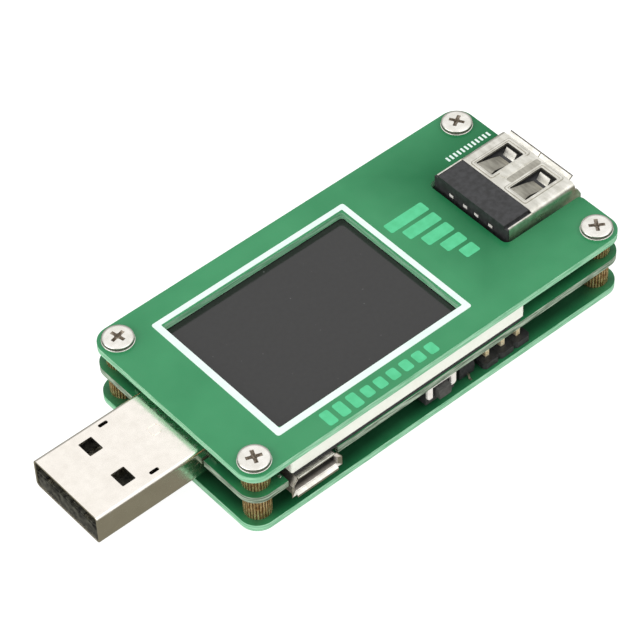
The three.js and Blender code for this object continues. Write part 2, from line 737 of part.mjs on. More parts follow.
function makeButton() {
  const { half, y0, y1, z0 } = BUTTON_BODY;
  const clear = 0.1;
  const flangeHalf = PLUNGER.half + FLANGE.side;
  const flangeLow = PLUNGER.z0 - FLANGE.low;
  const flangeHigh = PLUNGER.z1 + FLANGE.high;
  const flangeFront = y0 + BUTTON_WALL + FLANGE.gap;
  const flangeBack = flangeFront + FLANGE.thick;
  const mouth = buttonBox(
    PLUNGER.half + clear,
    y0 - MARGIN,
    PLUNGER.z0 - clear,
    y0 + MARGIN,
    PLUNGER.z1 + clear,
  );
  const pocket = buttonBox(
    flangeHalf + clear,
    y0 + BUTTON_WALL,
    flangeLow - clear,
    BUTTON_POCKET_Y,
    flangeHigh + clear,
  );
  const body = carve(buttonBox(half, y0, z0, y1, MAIN_UNDER), [], [mouth, pocket]);
  put("button_body", body, blackPlastic);

  const { y: front, lugUnder, lug, strapGap } = BUTTON_FRAME;
  const strapUnder = PLUNGER.z1 + strapGap;
  const [left, right] = [BUTTON_X - half, BUTTON_X + half];
  const frame = polygon([
    [left, lugUnder],
    [left + lug, lugUnder],
    [left + lug, strapUnder],
    [right - lug, strapUnder],
    [right - lug, lugUnder],
    [right, lugUnder],
    [right, MAIN_UNDER],
    [left, MAIN_UNDER],
  ]);
  put("button_frame", extrudeY(frame, front, y0), nickel);

  const middle = (PLUNGER.z0 + PLUNGER.z1) / 2;
  const stem = buttonBox(PLUNGER.half, PLUNGER.y0, PLUNGER.z0, flangeBack, PLUNGER.z1);
  const flange = buttonBox(flangeHalf, flangeFront, flangeLow, flangeBack, flangeHigh);
  const nub = buttonBox(
    NUB.half,
    flangeBack - BITE,
    middle - NUB.half,
    NUB.y,
    middle + NUB.half,
  );
  put("button_plunger", carve(stem, [flange, nub]), greyPlastic);

  const { r, thick, slack } = BUTTON_DOME;
  const domeY = NUB.y + BUTTON_TRAVEL + slack + thick / 2;
  const dome = new THREE.CylinderGeometry(r, r, thick, 16).translate(BUTTON_X, domeY, middle);
  put("button_dome", dome, nickel);
  const seatHalf = r - 0.15;
  const seat = buttonBox(r, domeY + thick / 2, middle - seatHalf, BUTTON_POCKET_Y, middle + seatHalf);
  put("button_base_contact", seat, brass);
}

// ---------------------------------------------------------------- header and board components

function makeHeader() {
  const { x, y, depth, height, pin, proud, ways } = HEADER;
  const half = (ways * HEADER_PITCH) / 2;
  const baseTop = BOTTOM_TOP + height;
  const post = (px, z1) => box(px - pin / 2, y - pin / 2, 0, px + pin / 2, y + pin / 2, z1);
  const base = box(x - half, y - depth / 2, BOTTOM_TOP, x + half, y + depth / 2, baseTop);
  const holes = headerPinX.map((px) => post(px, baseTop + MARGIN));
  put("header_base", carve(base, [], holes), blackPlastic);
  headerPinX.forEach((px, i) => {
    put(`header_pin_${i + 1}`, post(px, MAIN_TOP + proud), gold);
  });
}

/** A component's body: its middle in x and y, and its length, width and height. */
function onBoard(x, y, length, width, height) {
  const corner = [x - length / 2, y - width / 2];
  return box(...corner, BOTTOM_TOP, x + length / 2, y + width / 2, BOTTOM_TOP + height);
}

/** The same, hanging from the main board's underside. */
function underBoard(x, y, length, width, height) {
  return onBoard(x, y, length, width, height).translate(0, 0, LOWER_GAP - height);
}

function makeComponents() {
  put("controller_chip", underBoard(24.0, 3.5, 7.0, 7.0, 1.4), blackPlastic);
  put("sense_chip", underBoard(38.5, 5.5, 3.0, 3.0, 0.9), blackPlastic);
  put("memory_chip", underBoard(14.5, 6.5, 5.0, 4.0, 1.5), blackPlastic);
  put("crystal_can", underBoard(24.0, -5.5, 3.2, 2.5, 0.8), nickel);
  put("shunt_resistor", onBoard(48.5, 0, 6.4, 3.2, 0.7), ceramic);
  put("voltage_regulator", onBoard(15.0, -6.5, 6.5, 3.5, 1.6), blackPlastic);
  put("power_diode", onBoard(34.28, -12.5, 2.65, 4.4, 2.3), blackPlastic);
}

makeBoards();
makeFasteners();
makeDisplay();
makePlug();
makeSocketShell();
makeSocketInside();
makeMicroUsb();
makeButton();
makeHeader();
makeComponents();

meter.position.set(-(PLUG_TIP_X + SOCKET_LIP_X) / 2, -(MICRO_LIP_Y + HALF_WIDTH) / 2, 0);

export default meter;
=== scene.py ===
"""A plug-through USB power meter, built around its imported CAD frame.

Lengths are millimetres, measured like a circuit-board drawing: x from the boards' plug end,
y from their centre line and z from under the bottom board. piece() turns a finished mesh
into metres in the frame. A flat rectangle is given as x0, y0, x1, y1.
"""

import math
import random

import bmesh
import bpy
from mathutils import Matrix, Vector
from mathutils.geometry import tessellate_polygon


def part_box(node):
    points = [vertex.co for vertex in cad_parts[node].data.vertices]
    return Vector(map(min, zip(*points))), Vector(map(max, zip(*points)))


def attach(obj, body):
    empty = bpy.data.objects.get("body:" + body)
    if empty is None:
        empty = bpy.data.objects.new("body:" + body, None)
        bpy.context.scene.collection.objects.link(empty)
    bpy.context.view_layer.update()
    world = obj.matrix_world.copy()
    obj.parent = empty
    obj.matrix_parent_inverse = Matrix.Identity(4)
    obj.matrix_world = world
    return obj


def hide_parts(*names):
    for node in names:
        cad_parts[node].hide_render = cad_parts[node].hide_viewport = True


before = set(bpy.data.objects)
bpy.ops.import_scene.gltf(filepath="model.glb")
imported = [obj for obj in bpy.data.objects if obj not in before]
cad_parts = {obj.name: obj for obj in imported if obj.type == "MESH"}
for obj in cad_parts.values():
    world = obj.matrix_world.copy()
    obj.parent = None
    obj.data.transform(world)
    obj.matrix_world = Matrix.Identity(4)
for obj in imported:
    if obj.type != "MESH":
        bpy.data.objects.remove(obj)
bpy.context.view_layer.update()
MM = 0.001
LOW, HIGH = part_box("bottom_board")
ORIGIN = Vector((LOW.x, (LOW.y + HIGH.y) / 2, LOW.z))


class Extent:
    """A CAD node's box."""

    def __init__(self, node):
        low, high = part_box(node)
        self.x0, self.y0, self.z0 = (low - ORIGIN) / MM
        self.x1, self.y1, self.z1 = (high - ORIGIN) / MM
        self.x, self.y, self.z = ((low + high) / 2 - ORIGIN) / MM


BOTTOM, MAIN, TOP = (Extent(n) for n in ("bottom_board", "main_board", "top_board"))
SCREWS = [Extent(f"top_screw_{i}") for i in range(1, 5)]
PLUG, SOCKET, MICRO = (Extent(n) for n in ("plug_shell", "receptacle_shell", "micro_usb_shell"))
HOUSING = Extent("receptacle_housing")
LCD, GLASS = Extent("lcd_frame"), Extent("lcd_glass")
CASE, BRACKET, PLUNGER = (Extent(n) for n in ("button_body", "button_frame", "button_plunger"))
HEADER = Extent("header_base")
HEADER_PINS = [Extent(f"header_pin_{i}") for i in range(1, 4)]
CONTACT_Y = [Extent(f"plug_contact_{i}").y for i in range(1, 5)]

# boards
CORNER = 2.5
WINDOW = (7.75, -10.75, 36.05, 10.7)
BORDER_OUTER = (6.85, -11.7, 37.1, 11.75)
BORDER_INNER = (7.78, -10.78, 36.32, 10.97)
NOTCH_X, NOTCH_HALF = 47.05, 7.05
INK_HALF = 0.02

# plug and socket: the plug's tube, the socket's tube without its lips, its springs' windows
SHEET = 0.3
PLUG_TOP = MAIN.z0 + MAIN.z1 - PLUG.z0
PLUG_HALF = 6.0
SOCKET_HALF, SOCKET_UNDER, SOCKET_TOP = 6.55, 5.83, 11.55
SOCKET_BACK, SOCKET_FRONT = 48.0, 59.1
SOCKET_RIM = SOCKET_TOP - 0.35
HOUSING_FRONT = 51.85
SPRING_Y = (3.0, -3.0)
WINDOW_BACK, WINDOW_FRONT, WINDOW_HALF = 52.7, 58.1, 1.45

# micro-USB socket
MICRO_HEIGHT = 2.45
MICRO_UNDER = MAIN.z1 - MICRO_HEIGHT
MICRO_WALL = 0.25
MICRO_FRONT = -15.5
MICRO_MOUTH = MICRO_FRONT - 0.22


def placed(name, data):
    """A new object, linked to the scene."""
    made = bpy.data.objects.new(name, data)
    bpy.context.scene.collection.objects.link(made)
    return made


def colour_ramp(tree, factor, stops):
    """Colours, or greys given as numbers, against the factor."""
    node = tree.nodes.new("ShaderNodeValToRGB")
    elements = node.color_ramp.elements
    while len(elements) < len(stops):
        elements.new(0.5)
    for element, (at, colour) in zip(elements, stops):
        element.position = at
        grey = isinstance(colour, (int, float))
        element.color = (colour, colour, colour, 1) if grey else (*colour, 1)
    tree.links.new(factor, node.inputs["Fac"])
    return node.outputs["Color"]


# ---- materials

LOOK = {}


class Shader:
    """A Principled material, one of LOOK, whose noise is in millimetres on the piece itself."""

    def __init__(self, name, colour, roughness, metallic=0.0, **inputs):
        self.material = bpy.data.materials.new(name)
        self.material.use_nodes = True
        LOOK[name] = self.material
        self.tree = self.material.node_tree
        self.bsdf = self.tree.nodes["Principled BSDF"]
        self.set("Base Color", (*colour, 1))
        self.set("Roughness", roughness)
        self.set("Metallic", metallic)
        for key, value in inputs.items():
            self.set(key.replace("_", " "), value)
        self.place = self.add("TexCoord").outputs["Object"]

    def set(self, socket, value):
        self.bsdf.inputs[socket].default_value = value

    def noise(self, size, detail=3.0, stretch=(1, 1, 1)):
        """Noise with features about size millimetres across, drawn out along axes by stretch."""
        mapping = self.add("Mapping")
        mapping.inputs["Scale"].default_value = [1 / (size * MM * s) for s in stretch]
        texture = self.add("TexNoise")
        texture.inputs["Scale"].default_value = 1.0
        texture.inputs["Detail"].default_value = detail
        self.link(self.place, mapping.inputs["Vector"])
        self.link(mapping.outputs["Vector"], texture.inputs["Vector"])
        return texture.outputs["Fac"]

    def add(self, kind):
        return self.tree.nodes.new("ShaderNode" + kind)

    def link(self, source, socket):
        self.tree.links.new(source, socket)

    def ramp(self, factor, stops):
        return colour_ramp(self.tree, factor, stops)

    def wander(self, socket, low, high, *noise):
        value = self.ramp(self.noise(*noise), [(0.35, low), (0.65, high)])
        self.link(value, self.bsdf.inputs[socket])
        return self

    def mottle(self, low, high, size, detail=3.0, stretch=(1, 1, 1)):
        """Base colour wandering between two colours."""
        return self.wander("Base Color", low, high, size, detail, stretch)

    def uneven(self, low, high, size, detail=4.0, stretch=(1, 1, 1)):
        """Roughness wandering between two values."""
        return self.wander("Roughness", low, high, size, detail, stretch)

    def compute(self, operation, *values):
        """A maths node's result. Each value is a number or another node's output."""
        node = self.add("Math")
        node.operation = operation
        for socket, value in zip(node.inputs, values):
            if isinstance(value, (int, float)):
                socket.default_value = value
            else:
                self.link(value, socket)
        return node.outputs[0]

    def outside(self, x0, y0, x1, y1):
        """How far a point lies outside an upright box, in millimetres, and negative inside."""
        split = self.add("SeparateXYZ")
        self.link(self.place, split.inputs[0])
        reach = []
        for axis, low, high, start in (("X", x0, x1, ORIGIN.x), ("Y", y0, y1, ORIGIN.y)):
            middle = start + (low + high) / 2 * MM
            away = self.compute("SUBTRACT", split.outputs[axis], middle)
            away = self.compute("ABSOLUTE", away)
            past = self.compute("SUBTRACT", away, (high - low) / 2 * MM)
            reach.append(self.compute("DIVIDE", past, MM))
        return self.compute("MAXIMUM", *reach)

    def shade(self, distance, near, far, at_near, at_far, gloss=None):
        """Paint shade: dim the base colour between two distances, by a factor at each.

        gloss, when given, is the specular level at the first distance.
        """
        spread = self.add("MapRange")
        spread.inputs["From Min"].default_value = near
        spread.inputs["From Max"].default_value = far
        self.link(distance, spread.inputs["Value"])
        dimming = self.ramp(spread.outputs["Result"], [(0.0, at_near), (1.0, at_far)])
        product = self.add("VectorMath")
        product.operation = "MULTIPLY"
        self.link(self.bsdf.inputs["Base Color"].links[0].from_socket, product.inputs[0])
        self.link(dimming, product.inputs[1])
        self.link(product.outputs[0], self.bsdf.inputs["Base Color"])
        if gloss is not None:
            level = self.ramp(spread.outputs["Result"], [(0.0, gloss), (1.0, 0.5)])
            self.link(level, self.bsdf.inputs["Specular IOR Level"])
        return self

    def bump(self, height, size, detail=3.0, stretch=(1, 1, 1)):
        """Relief of that height in millimetres."""
        node = self.add("Bump")
        node.inputs["Distance"].default_value = height * MM
        self.link(self.noise(size, detail, stretch), node.inputs["Height"])
        if self.bsdf.inputs["Normal"].is_linked:
            before = self.bsdf.inputs["Normal"].links[0].from_socket
            self.link(before, node.inputs["Normal"])
        self.link(node.outputs["Normal"], self.bsdf.inputs["Normal"])
        return self


def board_looks():
    mask = Shader("solder_mask", (0.02, 0.26, 0.09), 0.35, Coat_Weight=0.15, Coat_Roughness=0.2)
    mask.mottle((0.018, 0.24, 0.085), (0.03, 0.28, 0.105), 9.0).uneven(0.32, 0.44, 2.5)
    mask.bump(0.004, 0.35)
    # Painted shade: the mask's colour and gloss darken towards the socket, which stands over it.
    from_socket = mask.outside(HOUSING.x0, -3.0, SOCKET.x1, 8.0)
    mask.shade(from_socket, near=0.0, far=9.0, at_near=0.6, at_far=1.0, gloss=0.1)
    inner = Shader("shaded_mask", (0.02, 0.26, 0.09), 0.5)
    inner.mottle((0.015, 0.22, 0.075), (0.03, 0.29, 0.105), 4.0).bump(0.004, 0.35)
    # Painted shade: between the boards the mask darkens inwards from their edges.
    from_edge = inner.outside(MAIN.x0, MAIN.y0, MAIN.x1, MAIN.y1)
    inner.shade(from_edge, near=-1.6, far=-0.1, at_near=0.3, at_far=0.8)
    track = Shader("mask_over_copper", (0.035, 0.33, 0.13), 0.32, Coat_Weight=0.15)
    track.mottle((0.03, 0.30, 0.11), (0.045, 0.35, 0.14), 3.0).bump(0.004, 0.35)
    edge = Shader("board_edge", (0.22, 0.54, 0.32), 0.5)
    edge.mottle((0.12, 0.42, 0.21), (0.38, 0.70, 0.47), 0.5, 5.0, (6, 6, 0.35)).bump(0.02, 0.12)
    fibre = Shader("board_edge_fibre", (0.2, 0.3, 0.21), 0.6)
    fibre.mottle((0.07, 0.12, 0.07), (0.40, 0.50, 0.38), 0.45, 6.0, (5, 5, 0.4)).bump(0.03, 0.12)
    white_print = Shader("white_print", (0.82, 0.95, 0.90), 0.5)
    white_print.mottle((0.78, 0.92, 0.87), (0.86, 0.97, 0.92), 1.5)
    green_print = Shader("green_print", (0.08, 0.58, 0.27), 0.45)
    green_print.mottle((0.075, 0.55, 0.25), (0.095, 0.62, 0.30), 1.2)


def sheet_metal_looks():
    nickel = Shader("nickel_plate", (0.91, 0.86, 0.79), 0.2, 1.0)
    nickel.mottle((0.88, 0.83, 0.76), (0.93, 0.88, 0.81), 2.0).uneven(0.14, 0.28, 0.8)
    nickel.bump(0.0015, 0.25, 2.0, (1, 6, 1))
    satin = Shader("satin_nickel", (0.77, 0.75, 0.68), 0.34, 1.0)
    satin.mottle((0.66, 0.64, 0.57), (0.88, 0.86, 0.79), 0.7, 5.0, (1, 3, 1))
    satin.uneven(0.26, 0.42, 0.5, 5.0, (4, 1, 1)).bump(0.003, 0.2, 3.0, (1, 4, 1))
    # Painted shade: darker nickel for the socket's springs and the strips round its ridges.
    shade_nickel = Shader("dull_nickel", (0.44, 0.42, 0.36), 0.45, 0.9)
    shade_nickel.mottle((0.36, 0.34, 0.29), (0.54, 0.52, 0.45), 0.5, 5.0, (1, 3, 1)).bump(0.004, 0.2)
    # Dark cut edges, also painted shade: on screw sides, in socket windows, on micro-USB flanks.
    edge_and_shade = Shader("cut_edge_and_shade", (0.16, 0.15, 0.125), 0.6, 0.5)
    edge_and_shade.mottle((0.10, 0.095, 0.08), (0.22, 0.205, 0.17), 0.3)
    liner = Shader("socket_lining", (0.74, 0.68, 0.60), 0.5, 0.2)
    liner.mottle((0.66, 0.60, 0.52), (0.82, 0.77, 0.70), 0.6)
    # Painted shade: the lining darkens inwards from the micro-USB socket's mouth.
    mouth, deep = MICRO_FRONT - 0.1, 60
    from_mouth = liner.outside(MAIN.x0, mouth, MAIN.x1, mouth + deep)
    liner.shade(from_mouth, near=-0.85, far=-0.1, at_near=0.1, at_far=1.0)
    lip = Shader("lip_nickel", (0.72, 0.70, 0.64), 0.34, 1.0)
    lip.mottle((0.60, 0.58, 0.52), (0.82, 0.80, 0.74), 0.8, 3.0, (1, 3, 1)).uneven(0.3, 0.4, 0.6)


def hardware_looks():
    screw = Shader("screw_nickel", (0.87, 0.845, 0.78), 0.24, 1.0)
    screw.mottle((0.80, 0.775, 0.71), (0.92, 0.895, 0.84), 1.1, 2.0)
    screw.uneven(0.2, 0.3, 0.6).bump(0.002, 0.5)
    # Painted shade in the screws' cross recesses.
    recess = Shader("painted_recess_shade", (0.30, 0.25, 0.19), 0.5, 0.5)
    recess.mottle((0.18, 0.145, 0.11), (0.42, 0.36, 0.29), 0.35)
    brass = Shader("brass", (0.8, 0.52, 0.22), 0.3, 0.8)
    brass.mottle((0.46, 0.25, 0.09), (1.0, 0.78, 0.42), 0.35, 5.0, (1, 1, 2))
    brass.uneven(0.16, 0.4, 0.3)
    # Painted shade down the standoffs' knurl grooves.
    groove = Shader("brass_groove_shade", (0.22, 0.11, 0.04), 0.5, 0.75)
    groove.mottle((0.10, 0.05, 0.02), (0.34, 0.19, 0.07), 0.4)
    gold = Shader("gold_plate", (1.0, 0.86, 0.56), 0.28, 0.3)
    gold.mottle((0.96, 0.76, 0.42), (1.0, 0.91, 0.66), 0.7).uneven(0.22, 0.36, 0.4)
    contact = Shader("worn_contact", (0.45, 0.44, 0.36), 0.4, 1.0)
    contact.mottle((0.30, 0.28, 0.21), (0.58, 0.57, 0.48), 0.4, 4.0).uneven(0.3, 0.5, 0.3)
    tin = Shader("tin", (0.82, 0.82, 0.80), 0.3, 1.0)
    tin.mottle((0.72, 0.72, 0.70), (0.88, 0.88, 0.86), 0.3).bump(0.006, 0.25)
    bright_tin = Shader("bright_tin", (0.95, 0.91, 0.86), 0.35, 0.1)
    bright_tin.mottle((0.90, 0.85, 0.79), (0.98, 0.95, 0.91), 0.4).bump(0.004, 0.25)


def plastic_looks():
    black = Shader("black_plastic", (0.032, 0.032, 0.034), 0.5)
    black.mottle((0.024, 0.024, 0.025), (0.044, 0.044, 0.047), 0.6, 6.0).bump(0.006, 0.12)
    carrier = Shader("plug_carrier", (0.012, 0.011, 0.009), 0.75)
    carrier.mottle((0.002, 0.0015, 0.001), (0.07, 0.068, 0.05), 0.7, 8.0).bump(0.01, 0.15)
    grey = Shader("grey_plastic", (0.07, 0.07, 0.068), 0.45)
    grey.mottle((0.055, 0.055, 0.053), (0.09, 0.09, 0.086), 0.5, 5.0).bump(0.005, 0.12)
    epoxy = Shader("chip_epoxy", (0.02, 0.02, 0.022), 0.6)
    epoxy.mottle((0.015, 0.015, 0.017), (0.03, 0.03, 0.032), 0.35, 6.0).bump(0.01, 0.1)
    white = Shader("white_plastic", (0.88, 0.90, 0.80), 0.42)
    white.mottle((0.86, 0.88, 0.78), (0.90, 0.92, 0.83), 2.5).bump(0.003, 0.2)
    ceramic = Shader("resistor_ceramic", (0.62, 0.58, 0.50), 0.6)
    ceramic.mottle((0.55, 0.51, 0.44), (0.68, 0.64, 0.56), 0.3).bump(0.008, 0.12)


def display_looks():
    glass = Shader("display_glass", (0.02, 0.0195, 0.019), 0.1)
    dark, darkest, dust = (0.023, 0.0225, 0.022), (0.019, 0.0185, 0.018), (0.10, 0.10, 0.10)
    specks = glass.ramp(glass.noise(0.55, 1.0), [(0.0, darkest), (0.78, dark), (0.84, dust)])
    glass.link(specks, glass.bsdf.inputs["Base Color"])
    glass.uneven(0.08, 0.16, 6.0)
    clear = Shader("clear_plastic", (0.85, 0.88, 0.9), 0.15, Transmission_Weight=0.8)
    clear.bump(0.002, 0.5)
    film = Shader("amber_film", (0.42, 0.17, 0.03), 0.35, Coat_Weight=0.3)
    film.mottle((0.36, 0.14, 0.02), (0.48, 0.21, 0.04), 1.0)
    foam = Shader("foam", (0.03, 0.03, 0.03), 0.95)
    foam.mottle((0.02, 0.02, 0.02), (0.05, 0.05, 0.05), 0.15).bump(0.05, 0.15)


board_looks()
sheet_metal_looks()
hardware_looks()
plastic_looks()
display_looks()

BLACK = {"look": "black_plastic", "slot": "black_plastic"}

# ---- solids

SQUARE = ((-1, -1), (1, -1), (1, 1), (-1, 1))
AXES = {
    "X": lambda u, v, w: (w, u, v),
    "Y": lambda u, v, w: (u, w, v),
    "Z": lambda u, v, w: (u, v, w),
}


def arc(x, y, r, start, end, steps=8):
    """Points round a centre between two angles in degrees."""
    angles = [math.radians(start + (end - start) * i / steps) for i in range(steps + 1)]
    return [(x + r * math.cos(a), y + r * math.sin(a)) for a in angles]


def circle(x, y, r, steps=32):
    return arc(x, y, r, 0, 360, steps)[:-1]


def rounded(x0, y0, x1, y1, r, steps=8):
    """A rectangle's outline with round corners, or with cut corners when steps is 1."""
    return [
        *arc(x1 - r, y0 + r, r, -90, 0, steps),
        *arc(x1 - r, y1 - r, r, 0, 90, steps),
        *arc(x0 + r, y1 - r, r, 90, 180, steps),
        *arc(x0 + r, y0 + r, r, 180, 270, steps),
    ]


def lane(y, x0, x1, half, r, steps=8):
    """A round-cornered outline along x, centred on y."""
    return rounded(x0, y - half, x1, y + half, r, steps)


def prism(loops, start, end, axis="Z"):
    """A solid with a flat outline, the first loop, and holes, the others, along an axis."""
    solid = bmesh.new()
    flat = [point for loop in loops for point in loop]
    triangles = tessellate_polygon([[Vector((u, v, 0)) for u, v in loop] for loop in loops])
    rings = [[solid.verts.new(AXES[axis](u, v, w)) for u, v in flat] for w in (start, end)]
    for ring in rings:
        for triangle in triangles:
            solid.faces.new([ring[i] for i in triangle])
    first = 0
    for loop in loops:
        for i in range(len(loop)):
            a, b = first + i, first + (i + 1) % len(loop)
            solid.faces.new((rings[0][a], rings[0][b], rings[1][b], rings[1][a]))
        first += len(loop)
    bmesh.ops.recalc_face_normals(solid, faces=solid.faces)
    return solid


def block(x0, y0, z0, x1, y1, z1):
    return prism([[(x0, y0), (x1, y0), (x1, y1), (x0, y1)]], z0, z1)


def loft(rings, closed=False):
    """A skin over rings of points, closed by a cap at each end or joined back to its start."""
    solid = bmesh.new()
    rows = [[solid.verts.new(point) for point in ring] for ring in rings]
    pairs = list(zip(rows, rows[1:] + rows[:1])) if closed else list(zip(rows, rows[1:]))
    for low, high in pairs:
        for i in range(len(low)):
            j = (i + 1) % len(low)
            solid.faces.new((low[i], low[j], high[j], high[i]))
    if not closed:
        solid.faces.new(rows[0])
        solid.faces.new(rows[-1])
    bmesh.ops.recalc_face_normals(solid, faces=solid.faces)
    return solid


def tapered(x, y, levels):
    """An upright four-sided solid, from its heights and its half sizes along x and y."""
    return loft([[(x + u * a, y + v * b, z) for u, v in SQUARE] for z, a, b in levels])


def turned(profile, sides=48):
    """A solid turned about Z, from its profile's radii and heights."""
    rings = [[(x, y, z) for x, y in circle(0, 0, r, sides)] for r, z in profile]
    return loft(rings)


def moved(solid, x=0.0, y=0.0, z=0.0, turn=0.0):
    """The solid, turned about Z by an angle in degrees and shifted."""
    place = Matrix.Translation((x, y, z)) @ Matrix.Rotation(math.radians(turn), 4, "Z")
    bmesh.ops.transform(solid, matrix=place, verts=solid.verts)
    return solid


def joined(*solids):
    """Several solids as one mesh."""
    scratch = bpy.data.meshes.new("joined")
    result = bmesh.new()
    for solid in solids:
        solid.to_mesh(scratch)
        result.from_mesh(scratch)
        solid.free()
    bpy.data.meshes.remove(scratch)
    return result


def as_object(solid):
    mesh = bpy.data.meshes.new("solid")
    solid.to_mesh(mesh)
    solid.free()
    return placed("solid", mesh)


def evaluated(host):
    """The host's mesh with its modifiers applied. The host itself is removed."""
    graph = bpy.context.evaluated_depsgraph_get()
    mesh = bpy.data.meshes.new_from_object(host.evaluated_get(graph))
    bpy.data.objects.remove(host)
    return mesh


def carve(base, add=(), cut=()):
    """The base solid with the added ones joined on and then the others cut away."""
    host = as_object(base)
    others = [(as_object(s), "UNION") for s in add] + [(as_object(s), "DIFFERENCE") for s in cut]
    for other, operation in others:
        modifier = host.modifiers.new("carve", "BOOLEAN")
        modifier.operation = operation
        modifier.solver = "EXACT"
        modifier.object = other
    mesh = evaluated(host)
    for other, _ in others:
        bpy.data.objects.remove(other)
    result = bmesh.new()
    result.from_mesh(mesh)
    bmesh.ops.remove_doubles(result, verts=result.verts, dist=1e-4)
    return result


def piece(name, solid, look, bevel=0.0, segments=2, slot=None, stands_for=(), body="meter"):
    """A finished piece of the object, its edges rounded, riding on a CAD body.

    look is a look's name, one for faces that look up or down and one for the others, or the
    names that dress() then deals out. stands_for lists the CAD nodes that the piece replaces.
    """
    host = as_object(solid)
    if bevel:
        modifier = host.modifiers.new("edges", "BEVEL")
        modifier.width = bevel
        modifier.segments = segments
        modifier.limit_method = "ANGLE"
        modifier.angle_limit = math.radians(35)
    mesh = evaluated(host)
    looks = (look,) if isinstance(look, str) else look
    for key in looks:
        mesh.materials.append(LOOK[key])
    for face in mesh.polygons:
        face.use_smooth = True
        face.material_index = 0 if abs(face.normal.z) > 0.5 else len(looks) - 1
    mesh.set_sharp_from_angle(angle=math.radians(40))
    host = placed("shaded", mesh)
    modifier = host.modifiers.new("flat_faces", "WEIGHTED_NORMAL")
    modifier.keep_sharp = True
    modifier.weight = 100
    mesh = evaluated(host)
    mesh.transform(Matrix.Translation(ORIGIN) @ Matrix.Scale(MM, 4))
    mesh.name = name
    made = placed(name, mesh)
    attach(made, body)
    if stands_for:
        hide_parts(*stands_for)
    return made


def dress(made, choose, centre=(0, 0, 0)):
    """Give each face the look that choose names, from its middle and the way it faces.

    The middle is in millimetres from centre.
    """
    looks = [material.name for material in made.data.materials]
    start = ORIGIN + Vector(centre) * MM
    for face in made.data.polygons:
        face.material_index = looks.index(choose((face.center - start) / MM, face.normal))


# ---- boards


def make_boards():
    outline = rounded(MAIN.x0, -MAIN.y1, MAIN.x1, MAIN.y1, CORNER, 12)
    screw_holes = [circle(s.x, s.y, 1.15) for s in SCREWS]
    pin_holes = [circle(p.x, p.y, 0.5, 20) for p in HEADER_PINS]
    finish = {"bevel": 0.1, "segments": 3, "slot": "board_green"}
    past_end = TOP.x1 + 4
    past_side = -20

    flare_r, flare_x = 0.7, TOP.x1 + 1
    flare = [
        (flare_x, NOTCH_HALF + flare_r + 1),
        *arc(TOP.x1 - flare_r, NOTCH_HALF + flare_r, flare_r, 0, -90),
        *arc(TOP.x1 - flare_r, -NOTCH_HALF - flare_r, flare_r, 90, 0),
        (flare_x, -NOTCH_HALF - flare_r - 1),
    ]
    notch = rounded(NOTCH_X, -NOTCH_HALF, past_end, NOTCH_HALF, 0.9)
    through = TOP.z0 - 1, TOP.z1 + 1
    top = prism([outline, *screw_holes, rounded(*WINDOW, 0.5)], TOP.z0, TOP.z1)
    top = carve(top, (), [prism([notch], *through), prism([flare], *through)])
    piece("board_top", top, ("solder_mask", "board_edge"), stands_for=["top_board"], **finish)

    # Openings round the back of the plug, the socket and the micro-USB socket.
    slots = [
        rounded(-4, -6.2, 4.1, 6.2, 0.5),
        rounded(51.6, -6.75, past_end, 6.75, 0.5),
        rounded(MICRO.x - 3.75, past_side, MICRO.x + 3.75, MICRO.y1 + 0.1, 0.4),
    ]
    through = MAIN.z0 - 1, MAIN.z1 + 1
    main = prism([outline, *screw_holes, *pin_holes], MAIN.z0, MAIN.z1)
    main = carve(main, (), [prism([slot], *through) for slot in slots])
    looks = ("shaded_mask", "board_edge_fibre")
    piece("board_main", main, looks, stands_for=["main_board"], **finish)

    spigots = [circle(s.x, s.y, 1.36) for s in SCREWS]
    bottom = prism([outline, *spigots, *pin_holes], BOTTOM.z0, BOTTOM.z1)
    looks = ("shaded_mask", "board_edge")
    piece("board_bottom", bottom, looks, stands_for=["bottom_board"], **finish)


def printed(name, outlines, look):
    """Ink on the top board. Each outline is a loop and its holes."""
    solids = [prism(loops, TOP.z1 - INK_HALF, TOP.z1 + INK_HALF) for loops in outlines]
    piece(name, joined(*solids), look)


def make_print():
    ring = [rounded(*BORDER_OUTER, 0.35), rounded(*BORDER_INNER, 0.12, 4)]
    printed("display_border", [ring], "white_print")

    right, first, step, wide = 44.3, -5.5, 2.3, 1.7
    bars = []
    for i in range(5):
        y, length = first + i * step, 2.2 + i
        bars.append([rounded(right - length, y, right, y + wide, 0.25, 4)])
    printed("level_bars", bars, "green_print")

    middle, first, step, wide = -13.45, 12.3, 2.0, 1.35
    dashes = []
    for i in range(9):
        x, half = first + i * step, 1.15 if i < 3 else 0.85
        dashes.append([rounded(x, middle - half, x + wide, middle + half, 0.3, 4)])
    printed("edge_dashes", dashes, "green_print")

    first, step, wide, low, high = 51.7, 0.62, 0.3, 8.2, 9.0
    ticks = []
    for i in range(12):
        x = first + i * step
        ticks.append([rounded(x, low, x + wide, high, 0.05, 2)])
    printed("edge_ticks", ticks, "white_print")


# ---- screws and standoffs


def cross_recess(crown):
    """Cutters for a cross recess that tapers down from the crown of a screw's head."""
    levels = [(crown - 0.5, 0.55, 0.12), (crown + 0.1, 1.12, 0.27)]
    arms = [moved(tapered(0, 0, levels), turn=angle) for angle in (0, 90)]
    return [*arms, turned([(0.05, crown - 0.6), (0.5, crown + 0.1)], 16)]


